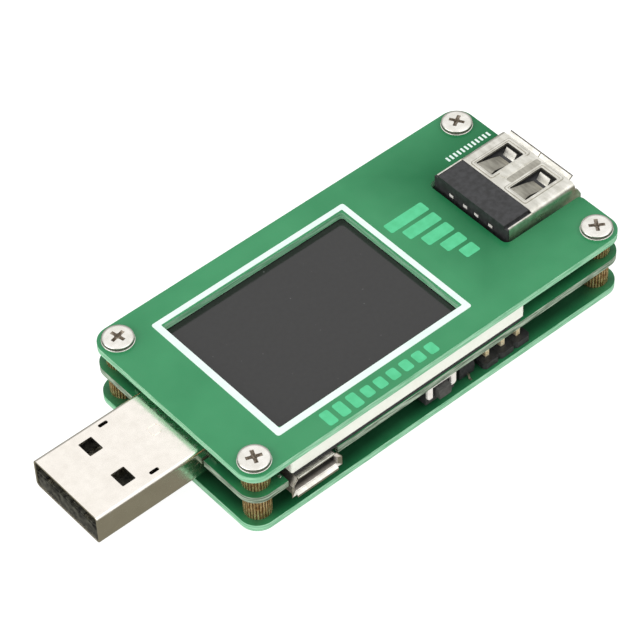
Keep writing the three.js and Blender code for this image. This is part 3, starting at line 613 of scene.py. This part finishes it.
def make_screws():
    thread, rim, r, flat = 0.95, 2.06, 1.98, 1.5
    foot, rim_top, side_top = SCREWS[0].z0 - TOP.z1, 0.09, 0.5
    crown = SCREWS[0].z1 - TOP.z1
    profile = [(thread, foot), (thread, 0), (rim, 0), (rim, rim_top)]
    profile += [(r, rim_top + 0.03), (r, side_top)]
    for u, v in arc(0, 0, 1, 15, 90, 6):
        profile.append((flat + (r - flat) * u, side_top + (crown - side_top) * v))
    profile.append((0.02, crown))

    def look(place, normal):
        out = place.xy.length
        # Painted shade in the cross recess.
        if out < 1.2 and 0 < place.z < crown - 0.04:
            return "painted_recess_shade"
        # Painted shade on the head's upright side, a dark band above its rim.
        upright = abs(normal.z) < 0.3
        if upright and out > r - 0.05 and rim_top + 0.05 < place.z < side_top:
            return "cut_edge_and_shade"
        return "screw_nickel"

    looks = ("screw_nickel", "cut_edge_and_shade", "painted_recess_shade")
    turns = (12, 68, 30, 55)
    for i, (screw, turn) in enumerate(zip(SCREWS, turns), 1):
        head = carve(turned(profile), (), cross_recess(crown))
        place = (screw.x, screw.y, TOP.z1)
        made = piece(
            f"screw_{i}", moved(head, *place, turn), looks,
            bevel=0.025, slot="nickel_screw", stands_for=[f"top_screw_{i}"],
        )
        dress(made, look, place)


def knurled(low, high, r, grooves=28, per_groove=6):
    """A straight-knurled round post with chamfered ends, and the radius halfway into a groove."""
    count = grooves * per_groove
    chamfer, inset, depth = 0.08, 0.03, 0.11
    rings = []
    for z, back, share in (
        (low, chamfer, 0.0),
        (low + chamfer, inset, 1.0),
        (high - chamfer, inset, 1.0),
        (high, chamfer, 0.0),
    ):
        ring = []
        for k in range(count):
            phase = k % per_groove / per_groove
            valley = max(0.0, 1 - abs(phase - 0.5) * 4)
            radius = r - back - depth * share * valley
            angle = 2 * math.pi * k / count
            ring.append((radius * math.cos(angle), radius * math.sin(angle), z))
        rings.append(ring)
    return loft(rings), r - depth * 0.5


def make_standoffs():
    """Posts between the boards. The lower ones have a stem through the bottom board."""
    r, stem_r = 1.75, 1.28
    looks = ("brass", "brass_groove_shade")
    for level, z0, z1 in (("upper", MAIN.z1, TOP.z0), ("lower", BOTTOM.z1, MAIN.z0)):
        for i, screw in enumerate(SCREWS, 1):
            node = f"{level}_standoff_{i}"
            post, valley = knurled(z0, z1, r)
            if level == "lower":
                stem = [(stem_r, Extent(node).z0 + 0.02), (stem_r, z0 + 0.1)]
                post = joined(post, turned(stem))
            made = piece(
                f"post_{level}_{i}", moved(post, screw.x, screw.y, 0, 7 * i), looks,
                slot="brass_standoff", stands_for=[node],
            )

            def look(place, normal, valley=valley, foot=z0):
                # Painted shade on the grooves' sides.
                sunk = place.xy.length < valley and place.z > foot
                return "brass_groove_shade" if sunk and abs(normal.z) < 0.3 else "brass"

            dress(made, look, (screw.x, screw.y, 0))


# ---- display


def make_display():
    wall, floor, overlap = 0.7, 0.4, 0.01
    inner = rounded(LCD.x0 + wall, LCD.y0 + wall, LCD.x1 - wall, LCD.y1 - wall, 0.2, 3)
    outer = rounded(LCD.x0, LCD.y0, LCD.x1, LCD.y1, 0.25, 4)
    tray = joined(
        prism([outer, inner], LCD.z0 + floor - overlap, LCD.z1),
        prism([outer], LCD.z0, LCD.z0 + floor),
    )
    piece(
        "display_tray", tray, "white_plastic",
        bevel=0.05, slot="white_plastic", stands_for=["lcd_frame"],
    )
    sheet = prism([rounded(GLASS.x0, GLASS.y0, GLASS.x1, GLASS.y1, 0.1, 3)], GLASS.z0, GLASS.z1)
    piece(
        "display_face", sheet, "display_glass",
        bevel=0.03, slot="display_glass", stands_for=["lcd_glass"],
    )


# ---- USB-A plug


def make_plug():
    bend = 0.6
    inside = PLUG_HALF - SHEET
    outer = rounded(-PLUG_HALF, PLUG.z0, PLUG_HALF, PLUG_TOP, bend)
    inner = rounded(-inside, PLUG.z0 + SHEET, inside, PLUG_TOP - SHEET, bend - SHEET)
    tube = prism([outer, inner], PLUG.x0, PLUG.x1, "X")
    above = PLUG_TOP + 1
    cuts = []
    for side in (1, -1):
        window = lane(side * 3.03, x0=-10.1, x1=-8.2, half=1.17, r=0.12, steps=3)
        cuts.append(prism([window], PLUG.z0 - 1, above))
        slit = lane(side * 4.78, x0=-6.65, x1=-5.35, half=0.25, r=0.2, steps=4)
        cuts.append(prism([slit], PLUG_TOP - 0.6, above))
    stamp = [rounded(-2.95, -0.8, -1.25, 0.8, 0.5), rounded(-2.75, -0.6, -1.45, 0.6, 0.35)]
    cuts.append(prism(stamp, PLUG_TOP - 0.08, above))
    seam = 0.03
    cuts.append(block(PLUG.x0 - 1, -seam, PLUG.z0 - 1, PLUG.x1 + 1, seam, PLUG.z0 + 0.12))
    ears = []
    for y0, y1 in ((PLUG_HALF - 0.15, PLUG.y1), (PLUG.y0, -PLUG_HALF + 0.15)):
        ears.append(block(0.8, y0, MAIN.z1, 2.6, y1, MAIN.z1 + SHEET))
    shell = carve(tube, ears, cuts)
    piece(
        "plug_sheet", shell, "nickel_plate",
        bevel=0.04, slot="nickel_shell", stands_for=["plug_shell"],
    )


def make_plug_carrier():
    """The plastic in the plug: a bar with rails between its contacts, and a block behind."""
    carrier = Extent("plug_insulator")
    half, bar_top = carrier.y1, Extent("plug_contact_1").z0
    lane_half, rail, bite = 0.55, 0.3, 0.1
    bar = rounded(-half, carrier.z0, half, bar_top, 0.35, 4)
    solids = [prism([bar], carrier.x0, carrier.x1, "X")]
    edges = [half, *[y + s for y in CONTACT_Y for s in (lane_half, -lane_half)], -half]
    for high, low in zip(edges[::2], edges[1::2]):
        start = carrier.x0 + 0.1
        solids.append(block(start, low, bar_top - bite, carrier.x1, high, bar_top + rail))
    rear = rounded(-half, bar_top, half, carrier.z1, 0.3, 4)
    solids.append(prism([rear], -2.6, 3.0, "X"))
    piece(
        "plug_carrier", joined(*solids), "plug_carrier",
        bevel=0.04, slot="black_plastic", stands_for=["plug_insulator"],
    )


# ---- USB-A socket


def spring_tongue(y, top):
    """A spring tongue that dips into the socket and curls up to its end."""
    thick, root, tip, curl = 0.25, 1.3, 0.9, 0.22
    line = [(52.6, 0.0), (53.6, -0.06), (55.0, -0.42), (56.2, -0.84)]
    line += [(56.65, -0.92), (56.85, -0.84), (57.1, -0.5), (57.42, 0.05)]
    rings = []
    for i, (x, dip) in enumerate(line):
        half = max(tip, 1.12 - 0.04 * i) if i else root
        under_x = x + (curl if i >= 5 else 0.0)
        high = top + dip
        under = [(under_x, y - half, high - thick), (under_x, y + half, high - thick)]
        rings.append([*under, (x, y + half, high), (x, y - half, high)])
    return loft(rings)


def socket_tube():
    """The shell without its lips: windows over its springs, and cut back over the housing."""
    half, top, inside = SOCKET_HALF, SOCKET_TOP, SOCKET_HALF - SHEET
    bend = 0.7
    outer = rounded(-half, SOCKET_UNDER, half, top, bend)
    inner = rounded(-inside, SOCKET_UNDER + SHEET, inside, top - SHEET, bend - SHEET)
    tube = prism([outer, inner], SOCKET_BACK, SOCKET_FRONT, "X")
    back, step, above = SOCKET_BACK - 1, HOUSING_FRONT + 0.05, 20
    cuts = [
        block(back, -inside, SOCKET_RIM - 3, step, inside, above),
        block(back, -inside, 0, step, inside, SOCKET_RIM - 1.9),
        block(back, -half - 1, SOCKET_RIM, step, half + 1, above),
        block(back, -half - 1, 0, step - 0.25, half + 1, MAIN.z1),
    ]
    for y in SPRING_Y:
        window = lane(y, WINDOW_BACK, WINDOW_FRONT, WINDOW_HALF, 0.15, 3)
        cuts.append(prism([window], top - 1, top + 1))
    return carve(tube, (), cuts)


def socket_lips():
    """Lips that flare out round the mouth, and the legs that hold the shell in the board."""
    start, end = SOCKET_FRONT - 0.3, SOCKET.x1
    lips = []
    for level, outward in ((SOCKET_TOP, 1), (SOCKET_UNDER, -1)):
        section = [
            (start, level),
            (start, level - outward * SHEET),
            (SOCKET_FRONT, level - outward * SHEET),
            (end, level + outward * (0.5 - SHEET)),
            (end, level + outward * 0.32),
            (end - 0.06, level + outward * 0.4),
            (end - 0.24, level + outward * 0.38),
            (SOCKET_FRONT, level),
        ]
        for y0, y1 in ((-5.45, -0.06), (0.06, 5.45)):
            lips.append(prism([section], y0, y1, "Y"))
    flare = ((start, 0.0, 0.75), (SOCKET_FRONT + 0.3, 0.2, 0.95), (end, 0.4, 1.7))
    for side in (1, -1):
        rings = []
        for x, out, trim in flare:
            low, high = SOCKET_UNDER + trim, SOCKET_TOP - trim
            a, b = side * (SOCKET_HALF + out), side * (SOCKET_HALF + out - SHEET)
            rings.append([(x, a, low), (x, b, low), (x, b, high), (x, a, high)])
        lips.append(loft(rings))
        y, leg_half = side * (SOCKET_HALF - SHEET / 2), SHEET / 2
        lips.append(block(49.0, y - leg_half, MAIN.z0 - 0.7, 50.2, y + leg_half, MAIN.z1 + 1))
    return lips


def socket_relief():
    """Ridges pressed up on the shell, with its springs, and strips of painted shade round them."""
    low, ridge, line = SOCKET_TOP - 0.1, SOCKET_TOP + 0.07, SOCKET_TOP + 0.015
    ridges = [prism([rounded(53.4, 0.05, 58.3, 1.15, 0.4, 6)], low, SOCKET_TOP + 0.05)]
    shade_lines = [prism([rounded(53.45, -1.02, 58.75, -0.12, 0.3, 6)], low, line)]
    for y in SPRING_Y:
        ring = [lane(y, 52.25, 58.75, 1.85, 0.3), lane(y, 52.5, 58.45, 1.62, 0.2)]
        ridges.append(prism(ring, low, ridge))
        ridges.append(spring_tongue(y, SOCKET_TOP))
        outside = [lane(y, 52.15, 58.85, 1.96, 0.35), lane(y, 52.25, 58.75, 1.85, 0.3)]
        inside = [lane(y, 52.5, 58.46, 1.63, 0.2), lane(y, 52.58, 58.38, 1.56, 0.2)]
        shade_lines += [prism(outside, low, line), prism(inside, low, line)]
    return ridges, shade_lines


def socket_look(place, normal):
    """Bright lips and spring ends, springs in painted shade, dark cut edges, on satin metal."""
    x, y, z = place
    near, tongue_half, curl, tongue_front = 0.05, 1.31, 56.5, 57.6
    from_spring = abs(abs(y) - SPRING_Y[0])
    if x > SOCKET.x1 - 0.25 and z > SOCKET_TOP:
        return "cut_edge_and_shade"
    if x > SOCKET_FRONT and z > SOCKET_TOP - 0.1 and normal.z > 0.3:
        return "lip_nickel"
    in_window = from_spring < WINDOW_HALF + near and z < SOCKET_TOP - 0.01
    in_window = in_window and WINDOW_BACK - near < x < WINDOW_FRONT + near
    # Springs: painted shade where they dip, bright nickel where they curl up to their ends.
    if in_window and x < tongue_front and from_spring < tongue_half:
        return "lip_nickel" if x > curl else "dull_nickel"
    # Upright faces in the windows: dark cut edges, with painted shade.
    return "cut_edge_and_shade" if in_window and abs(normal.z) < 0.9 else "satin_nickel"


def make_socket():
    shell = carve(socket_tube(), socket_lips())
    ridges, shade_lines = socket_relief()
    looks = ("satin_nickel", "lip_nickel", "dull_nickel", "cut_edge_and_shade")
    made = piece(
        "socket_sheet", joined(shell, *ridges), looks,
        bevel=0.04, slot="nickel_shell", stands_for=["receptacle_shell"],
    )
    dress(made, socket_look)
    # Painted shade: thin dark sheets round the ridges and along the middle.
    piece("socket_shade_lines", joined(*shade_lines), "dull_nickel")


def make_socket_housing():
    """The black body with its tongue, and the lanes in which the contacts' ends show."""
    back, front, top = HOUSING.x0, HOUSING_FRONT, SOCKET_TOP
    lane_half, lane_floor, lane_top = 0.42, 9.5, 10.1
    lanes = []
    for y in CONTACT_Y:
        low, high = y - lane_half, y + lane_half
        lanes.append(block(SOCKET_BACK - 1, low, lane_floor, front, high, lane_top))
        lanes.append(block(48.85, low, 0, 49.3, high, lane_top))
    upper = block(back, -5.9, top - 1.4, front, 5.9, top)
    tongue = block(50.9, -5.55, 8.85, 58.65, 5.55, 10.69)
    rear = block(back, -SOCKET_HALF, MAIN.z1, 47.95, SOCKET_HALF, SOCKET_RIM - 0.05)
    middle = block(back, -6.2, MAIN.z1, front, 6.2, top - 0.4)
    body = carve(middle, [upper, tongue, rear], lanes)
    dimple = [(0.16, -0.1), (0.16, 0.02), (0.1, 0.04)]
    dimples = [moved(turned(dimple, 16), x, y, top) for x, y in ((51.2, 4.6), (50.3, -4.4))]
    piece(
        "socket_housing", joined(body, *dimples),
        bevel=0.07, stands_for=["receptacle_housing"], **BLACK,
    )


# ---- micro-USB socket


def micro_outline(y, grow, splay=0.0):
    """The socket's six-sided section, larger by grow all round and splayed sideways."""
    wide, narrow = 3.5 + grow + splay, 2.75 + grow * 0.6 + splay
    low, high = MICRO_UNDER - grow, MAIN.z1 + grow
    shoulder = MICRO_UNDER + 1.35
    right = [(wide, low), (wide, shoulder), (narrow, high)]
    across = [(-wide, low), *right, (-narrow, high), (-wide, shoulder)]
    return [(MICRO.x + u, y, v) for u, v in across]


def micro_look(place, normal):
    """A bright rim and lip, and painted shade: a lining darkening with depth and dark flanks."""
    across = abs(place.x - MICRO.x)
    inside = across < 3.3 and MICRO_UNDER + 0.15 < place.z < MAIN.z1 - 0.1
    if inside:
        return "socket_lining" if place.y > MICRO_MOUTH + 0.05 else "lip_nickel"
    # Faces across x: cut ends of the lip and ears, and shell sides in painted shade.
    return "cut_edge_and_shade" if abs(normal.x) > 0.5 else "lip_nickel"


def make_micro_usb():
    front, back, splay = MICRO_FRONT, MICRO.y1, 0.2
    outside = [(back, 0), (front, 0), (MICRO_MOUTH, 0.14, splay)]
    inside = [(MICRO_MOUTH, 0.02, splay), (front, -MICRO_WALL), (back, -MICRO_WALL)]
    shell = loft([micro_outline(*section) for section in outside + inside], closed=True)
    drop, thick, lip_half = 0.42, 0.32, 3.1
    section = [
        (front + 0.1, MICRO_UNDER),
        (front + 0.1, MICRO_UNDER + thick),
        (MICRO.y0, MICRO_UNDER - drop + thick),
        (MICRO.y0, MICRO_UNDER - drop),
    ]
    lip = prism([section], MICRO.x - lip_half, MICRO.x + lip_half, "X")
    bead_half = 2.75
    bead = circle(MICRO_MOUTH + 0.1, MAIN.z1 + 0.03, 0.13, 12)
    bead = prism([bead], MICRO.x - bead_half, MICRO.x + bead_half, "X")
    ears = []
    for low, high in ((MICRO.x0, MICRO.x - 3.3), (MICRO.x + 3.3, MICRO.x1)):
        ears.append(block(low, -14.1, MAIN.z0 - MICRO_WALL, high, -12.6, MAIN.z0))
    looks = ("lip_nickel", "cut_edge_and_shade", "socket_lining")
    made = piece(
        "micro_sheet", joined(shell, lip, bead, *ears), looks,
        bevel=0.05, slot="nickel_shell", stands_for=["micro_usb_shell"],
    )
    dress(made, micro_look)


def make_micro_carrier():
    """The plastic behind the micro-USB socket's mouth, with its tongue."""
    carrier = Extent("micro_usb_insulator")
    front, half, gap = -12.6, 1.9, 0.03
    under, over = Extent("micro_usb_contact_3").z1, 5.5
    back = loft([micro_outline(y, -MICRO_WALL - gap) for y in (front, carrier.y1)])
    tongue = block(MICRO.x - half, carrier.y0, under, MICRO.x + half, front + 0.2, over)
    piece(
        "micro_carrier", joined(back, tongue),
        bevel=0.04, stands_for=["micro_usb_insulator"], **BLACK,
    )


# ---- side push switch


def make_button():
    x = PLUNGER.x
    half, low, high = 0.95, PLUNGER.z0 + 0.2, PLUNGER.z1 - 0.15
    gap, pocket_end, flange_end = 0.1, -12.5, -13.9
    mouth = (x - half - gap, CASE.y0 - 1, low - gap, x + half + gap, CASE.y0 + 1, high + gap)
    low_corner = PLUNGER.x0 - gap, CASE.y0 + 0.2, PLUNGER.z0 - gap
    pocket = block(*low_corner, PLUNGER.x1 + gap, pocket_end, PLUNGER.z1 + gap)
    case = block(CASE.x0, CASE.y0, CASE.z0, CASE.x1, CASE.y1, CASE.z1)
    case = carve(case, (), [block(*mouth), pocket])
    piece("switch_case", case, bevel=0.06, stands_for=["button_body"], **BLACK)

    lug, strap, cut = 0.85, 4.75, 0.25
    left, right, foot = BRACKET.x0, BRACKET.x1, BRACKET.z0
    outline = [
        (left, foot + cut), (left + cut, foot), (left + lug, foot), (left + lug, strap),
        (right - lug, strap), (right - lug, foot), (right - cut, foot), (right, foot + cut),
        (right, BRACKET.z1), (left, BRACKET.z1),
    ]
    piece(
        "switch_bracket", prism([outline], BRACKET.y0, BRACKET.y1, "Y"), "bright_tin",
        bevel=0.08, segments=3, slot="nickel_shell", stands_for=["button_frame"],
    )

    face = rounded(x - half, low, x + half, high, 0.15, 4)
    stem = prism([face], PLUNGER.y0, flange_end, "Y")
    start = CASE.y0 + 0.25
    flange = block(PLUNGER.x0, start, PLUNGER.z0, PLUNGER.x1, flange_end, PLUNGER.z1)
    r, start, z = 0.5, flange_end - 0.2, PLUNGER.z
    nub = block(x - r, start, z - r, x + r, PLUNGER.y1, z + r)
    piece(
        "switch_cap", joined(stem, flange, nub), "grey_plastic",
        bevel=0.1, segments=3, slot="grey_plastic", stands_for=["button_plunger"], body="button",
    )


# ---- header and components


def make_header():
    half_pitch = (HEADER_PINS[1].x - HEADER_PINS[0].x) / 2
    cells = []
    for pin in HEADER_PINS:
        x0, x1 = pin.x - half_pitch, pin.x + half_pitch
        outline = rounded(x0, HEADER.y0, x1, HEADER.y1, 0.35, steps=1)
        cells.append(prism([outline], HEADER.z0, HEADER.z1))
    piece("header_block", joined(*cells), bevel=0.05, stands_for=["header_base"], **BLACK)
    taper = 0.25
    for i, pin in enumerate(HEADER_PINS, 1):
        half = (pin.x1 - pin.x0) / 2
        tip = half * 0.6
        levels = [(pin.z0, tip, tip), (pin.z0 + taper, half, half)]
        levels += [(pin.z1 - taper, half, half), (pin.z1, tip, tip)]
        piece(
            f"header_post_{i}", tapered(pin.x, pin.y, levels), "gold_plate",
            bevel=0.03, slot="gold_contact", stands_for=[f"header_pin_{i}"],
        )
    over = [(0.85, -0.02), (0.8, 0.05), (0.5, 0.22), (0.38, 0.32)]
    under = [(r, -z) for r, z in reversed(over)]
    fillets = [moved(turned(over, 24), p.x, p.y, MAIN.z1) for p in HEADER_PINS]
    piece("header_solder", joined(*fillets), "tin")
    fillets = [moved(turned(under, 24), p.x, p.y, MAIN.z0) for p in HEADER_PINS]
    piece("header_solder_under", joined(*fillets), "tin")


def gull_wing(x, y, z, direction, turn):
    """A chip lead that leaves a body's side at height z and steps down to the board."""
    drop, reach, half, thick = 0.55, 0.75, 0.14, 0.12
    line = [(0, drop), (0.25, drop), (0.42, 0.0), (reach, 0.0)]
    upper = [(u, v + thick) for u, v in line]
    lead = prism([line + upper[::-1]], -half, half, "Y")
    if direction < 0:
        bmesh.ops.transform(lead, matrix=Matrix.Scale(-1, 4, (0, 0, 1)), verts=lead.verts)
        bmesh.ops.reverse_faces(lead, faces=lead.faces)
    return moved(lead, x, y, z, turn)


def chip(name, node, leads_per_side, sides, direction, pin_one=True):
    """A moulded package with leads on two or four sides, or none.

    direction is 1 on a board's top and -1 under a board.
    """
    body = Extent(node)
    foot, far = (body.z0, body.z1) if direction > 0 else (body.z1, body.z0)
    draft, lift, shrink, lead_reach, dot_inset = 0.12, 0.08, 0.05, 0.75, 0.75
    ledge = lead_reach if leads_per_side else shrink
    side_ledge = shrink if sides == 2 else ledge
    x0, x1 = body.x0 + side_ledge, body.x1 - side_ledge
    y0, y1 = body.y0 + ledge, body.y1 - ledge
    corners = [(x0, y0, 1, 1), (x1, y0, -1, 1), (x1, y1, -1, -1), (x0, y1, 1, -1)]
    rings = []
    for z, inset in ((foot + direction * lift, draft), ((foot + far) / 2, 0), (far, draft)):
        rings.append([(x + sx * inset, y + sy * inset, z) for x, y, sx, sy in corners])
    solids = [loft(rings)]
    if pin_one:
        dot = turned([(0.28, -0.02), (0.28, 0.012), (0.2, 0.012)], 20)
        solids.append(moved(dot, x0 + dot_inset, y0 + dot_inset, far))
    piece(name, joined(*solids), "chip_epoxy", bevel=0.05, slot="chip_epoxy", stands_for=[node])
    leads = []
    for k in range(leads_per_side):
        share = (k + 0.5) / leads_per_side
        x, y = x0 + (x1 - x0) * share, y0 + (y1 - y0) * share
        leads.append(gull_wing(x, y1, foot, direction, 90))
        leads.append(gull_wing(x, y0, foot, direction, -90))
        if sides == 4:
            leads.append(gull_wing(x1, y, foot, direction, 0))
            leads.append(gull_wing(x0, y, foot, direction, 180))
    if leads:
        piece(f"{name}_leads", joined(*leads), "worn_contact")


def make_components():
    chip("chip_controller", "controller_chip", 10, 4, -1)
    chip("chip_sense", "sense_chip", 0, 4, -1)
    chip("chip_memory", "memory_chip", 4, 2, -1)
    chip("chip_regulator", "voltage_regulator", 3, 2, 1, pin_one=False)
    chip("chip_diode", "power_diode", 1, 2, 1, pin_one=False)

    can = Extent("crystal_can")
    lid = prism([rounded(can.x0, can.y0, can.x1, can.y1, 0.4, 4)], can.z0, can.z1)
    piece(
        "crystal_lid", lid, "nickel_plate",
        bevel=0.12, segments=3, slot="nickel_shell", stands_for=["crystal_can"],
    )

    shunt = Extent("shunt_resistor")
    y0, y1, z0, z1 = shunt.y0, shunt.y1, shunt.z0, shunt.z1
    inset, cap = 0.5, 0.8
    core = block(shunt.x0 + inset, y0, z0, shunt.x1 - inset, y1, z1)
    piece(
        "shunt_core", core, "resistor_ceramic",
        bevel=0.06, slot="ceramic_resistor", stands_for=["shunt_resistor"],
    )
    ends = ((shunt.x0, shunt.x0 + cap), (shunt.x1 - cap, shunt.x1))
    caps = [block(x0, y0, z0, x1, y1, z1 + 0.02) for x0, x1 in ends]
    piece("shunt_caps", joined(*caps), "tin", bevel=0.08)


def washer(x, y, z, outer, inner, half, steps=(32, 32)):
    """A flat ring round a hole, centred on height z."""
    loops = [circle(x, y, r, count) for r, count in zip((outer, inner), steps)]
    return prism(loops, z - half, z + half)


def make_tracks():
    """Copper under the mask, and tinned holes, on the faces between and under the boards."""
    chance = random.Random(7)
    count, first, pitch, relief = 9, -11.0, 2.6, 0.03
    for name, z in (("under_bottom", BOTTOM.z0), ("on_main", MAIN.z1)):
        tracks, rings = [], []
        for k in range(count):
            y = first + k * pitch
            x0, x1 = chance.uniform(6, 12), chance.uniform(34, 46)
            jog, step = chance.uniform(18, 30), chance.choice((-1.0, 1.0))
            half = chance.choice((0.12, 0.18, 0.3))
            middle = [(x0, y), (jog, y), (jog + 1, y + step), (x1, y + step)]
            left = [(u, v + half) for u, v in middle]
            right = [(u, v - half) for u, v in middle]
            tracks.append(prism([left + right[::-1]], z - relief, z + relief))
            for u, v in (middle[0], middle[-1]):
                rings.append(washer(u, v, z, 0.42, 0.17, 0.04, (20, 12)))
        piece(f"tracks_{name}", joined(*tracks), "mask_over_copper")
        piece(f"vias_{name}", joined(*rings), "tin")
    pads = [washer(p.x, p.y, 0, 0.85, 0.33, 0.05, (32, 16)) for p in HEADER_PINS]
    pads += [washer(s.x, s.y, 0, 1.95, 1.3, 0.04) for s in SCREWS]
    piece("pads_under_bottom", joined(*pads), "tin")
    dot = turned([(0.22, -0.02), (0.22, 0.04), (0.1, 0.12)], 16)
    piece("test_point", moved(dot, 4.94, -13.94, MAIN.z1), "tin")


# ---- CAD nodes that are kept

KEPT = {
    "plug_contact_": "worn_contact",
    "receptacle_contact_": "bright_tin",
    "micro_usb_contact_": "gold_plate",
    "lcd_light_guide": "clear_plastic",
    "lcd_flex": "amber_film",
    "lcd_pad": "foam",
    "button_dome": "nickel_plate",
    "button_base_contact": "brass",
}


def dress_cad_nodes():
    for name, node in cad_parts.items():
        for stem, look in KEPT.items():
            if name.startswith(stem):
                node.data.materials.clear()
                node.data.materials.append(LOOK[look])
                modifier = node.modifiers.new("edges", "BEVEL")
                modifier.width = 0.03 * MM
                modifier.segments = 2
                modifier.limit_method = "ANGLE"


# ---- studio


def make_floor():
    """A pale sheet, in metres, just under the object. It glows a little, so its shade is faint."""
    glow = {"Emission_Color": (1, 1, 1, 1), "Emission_Strength": 0.9}
    look = Shader("floor", (0.3, 0.3, 0.3), 0.9, **glow)
    look.mottle((0.29, 0.29, 0.29), (0.31, 0.31, 0.31), 40.0)
    half, drop = 6.0, -0.0002
    corners = [(u * half, v * half, drop) for u, v in SQUARE]
    mesh = bpy.data.meshes.new("floor")
    mesh.from_pydata(corners, [], [(0, 1, 2, 3)])
    mesh.materials.append(look.material)
    made = placed("floor", mesh)
    made.visible_glossy = False


def bearing(azimuth, elevation):
    """The way out from the object at a compass angle and a height, both in degrees."""
    a, e = math.radians(azimuth), math.radians(elevation)
    return Vector((math.sin(a) * math.cos(e), -math.cos(a) * math.cos(e), math.sin(e)))


def make_light(name, azimuth, elevation, distance, size, radiance):
    """A square soft box facing the object."""
    towards = bearing(azimuth, elevation)
    light = bpy.data.lights.new(name, "AREA")
    light.size = size
    light.energy = radiance * math.pi * size**2
    made = placed(name, light)
    made.location = towards * distance
    made.rotation_mode = "QUATERNION"
    made.rotation_quaternion = towards.to_track_quat("Z", "Y")


def make_world():
    """A plain surround: bright overhead, dimmer at eye level and dark below the floor's level."""
    world = bpy.data.worlds.new("studio")
    bpy.context.scene.world = world
    world.use_nodes = True
    nodes, links = world.node_tree.nodes, world.node_tree.links
    place = nodes.new("ShaderNodeTexCoord")
    split = nodes.new("ShaderNodeSeparateXYZ")
    height = nodes.new("ShaderNodeMapRange")
    height.inputs["From Min"].default_value = -1.0
    stops = (
        (0.42, (0.21, 0.20, 0.15)),
        (0.52, (0.36, 0.36, 0.35)),
        (0.74, (0.42, 0.42, 0.41)),
        (0.84, (1.0, 1.0, 1.0)),
    )
    links.new(place.outputs["Generated"], split.inputs[0])
    links.new(split.outputs["Z"], height.inputs["Value"])
    colour = colour_ramp(world.node_tree, height.outputs["Result"], stops)
    links.new(colour, nodes["Background"].inputs["Color"])
    nodes["Background"].inputs["Strength"].default_value = 1.08


def make_camera():
    azimuth, elevation, roll = -38.812, 47.283, math.radians(-2.736)
    place = (-0.14579, -0.18204, 0.26163)
    back = bearing(azimuth, elevation)
    right = (-back).cross(Vector((0, 0, 1))).normalized()
    up = right.cross(-back)
    across = math.cos(roll) * right + math.sin(roll) * up
    along = -math.sin(roll) * right + math.cos(roll) * up
    data = bpy.data.cameras.new("camera")
    data.lens = 162.5
    data.sensor_width = 36
    data.clip_start, data.clip_end = 0.01, 50
    camera = placed("camera", data)
    turn = Matrix((across, along, back)).transposed().to_4x4()
    camera.matrix_world = Matrix.Translation(place) @ turn
    bpy.context.scene.camera = camera


def make_studio():
    make_floor()
    make_world()
    box = {"distance": 0.9, "size": 0.9}
    make_light("left_softbox", azimuth=-100.0, elevation=20.0, radiance=1.75, **box)
    make_light("near_fill", azimuth=12.0, elevation=36.0, radiance=0.75, **box)
    make_camera()
    bpy.context.scene.view_settings.view_transform = "Standard"


make_boards()
make_print()
make_screws()
make_standoffs()
make_display()
make_plug()
make_plug_carrier()
make_socket()
make_socket_housing()
make_micro_usb()
make_micro_carrier()
make_button()
make_header()
make_components()
make_tracks()
dress_cad_nodes()
make_studio()
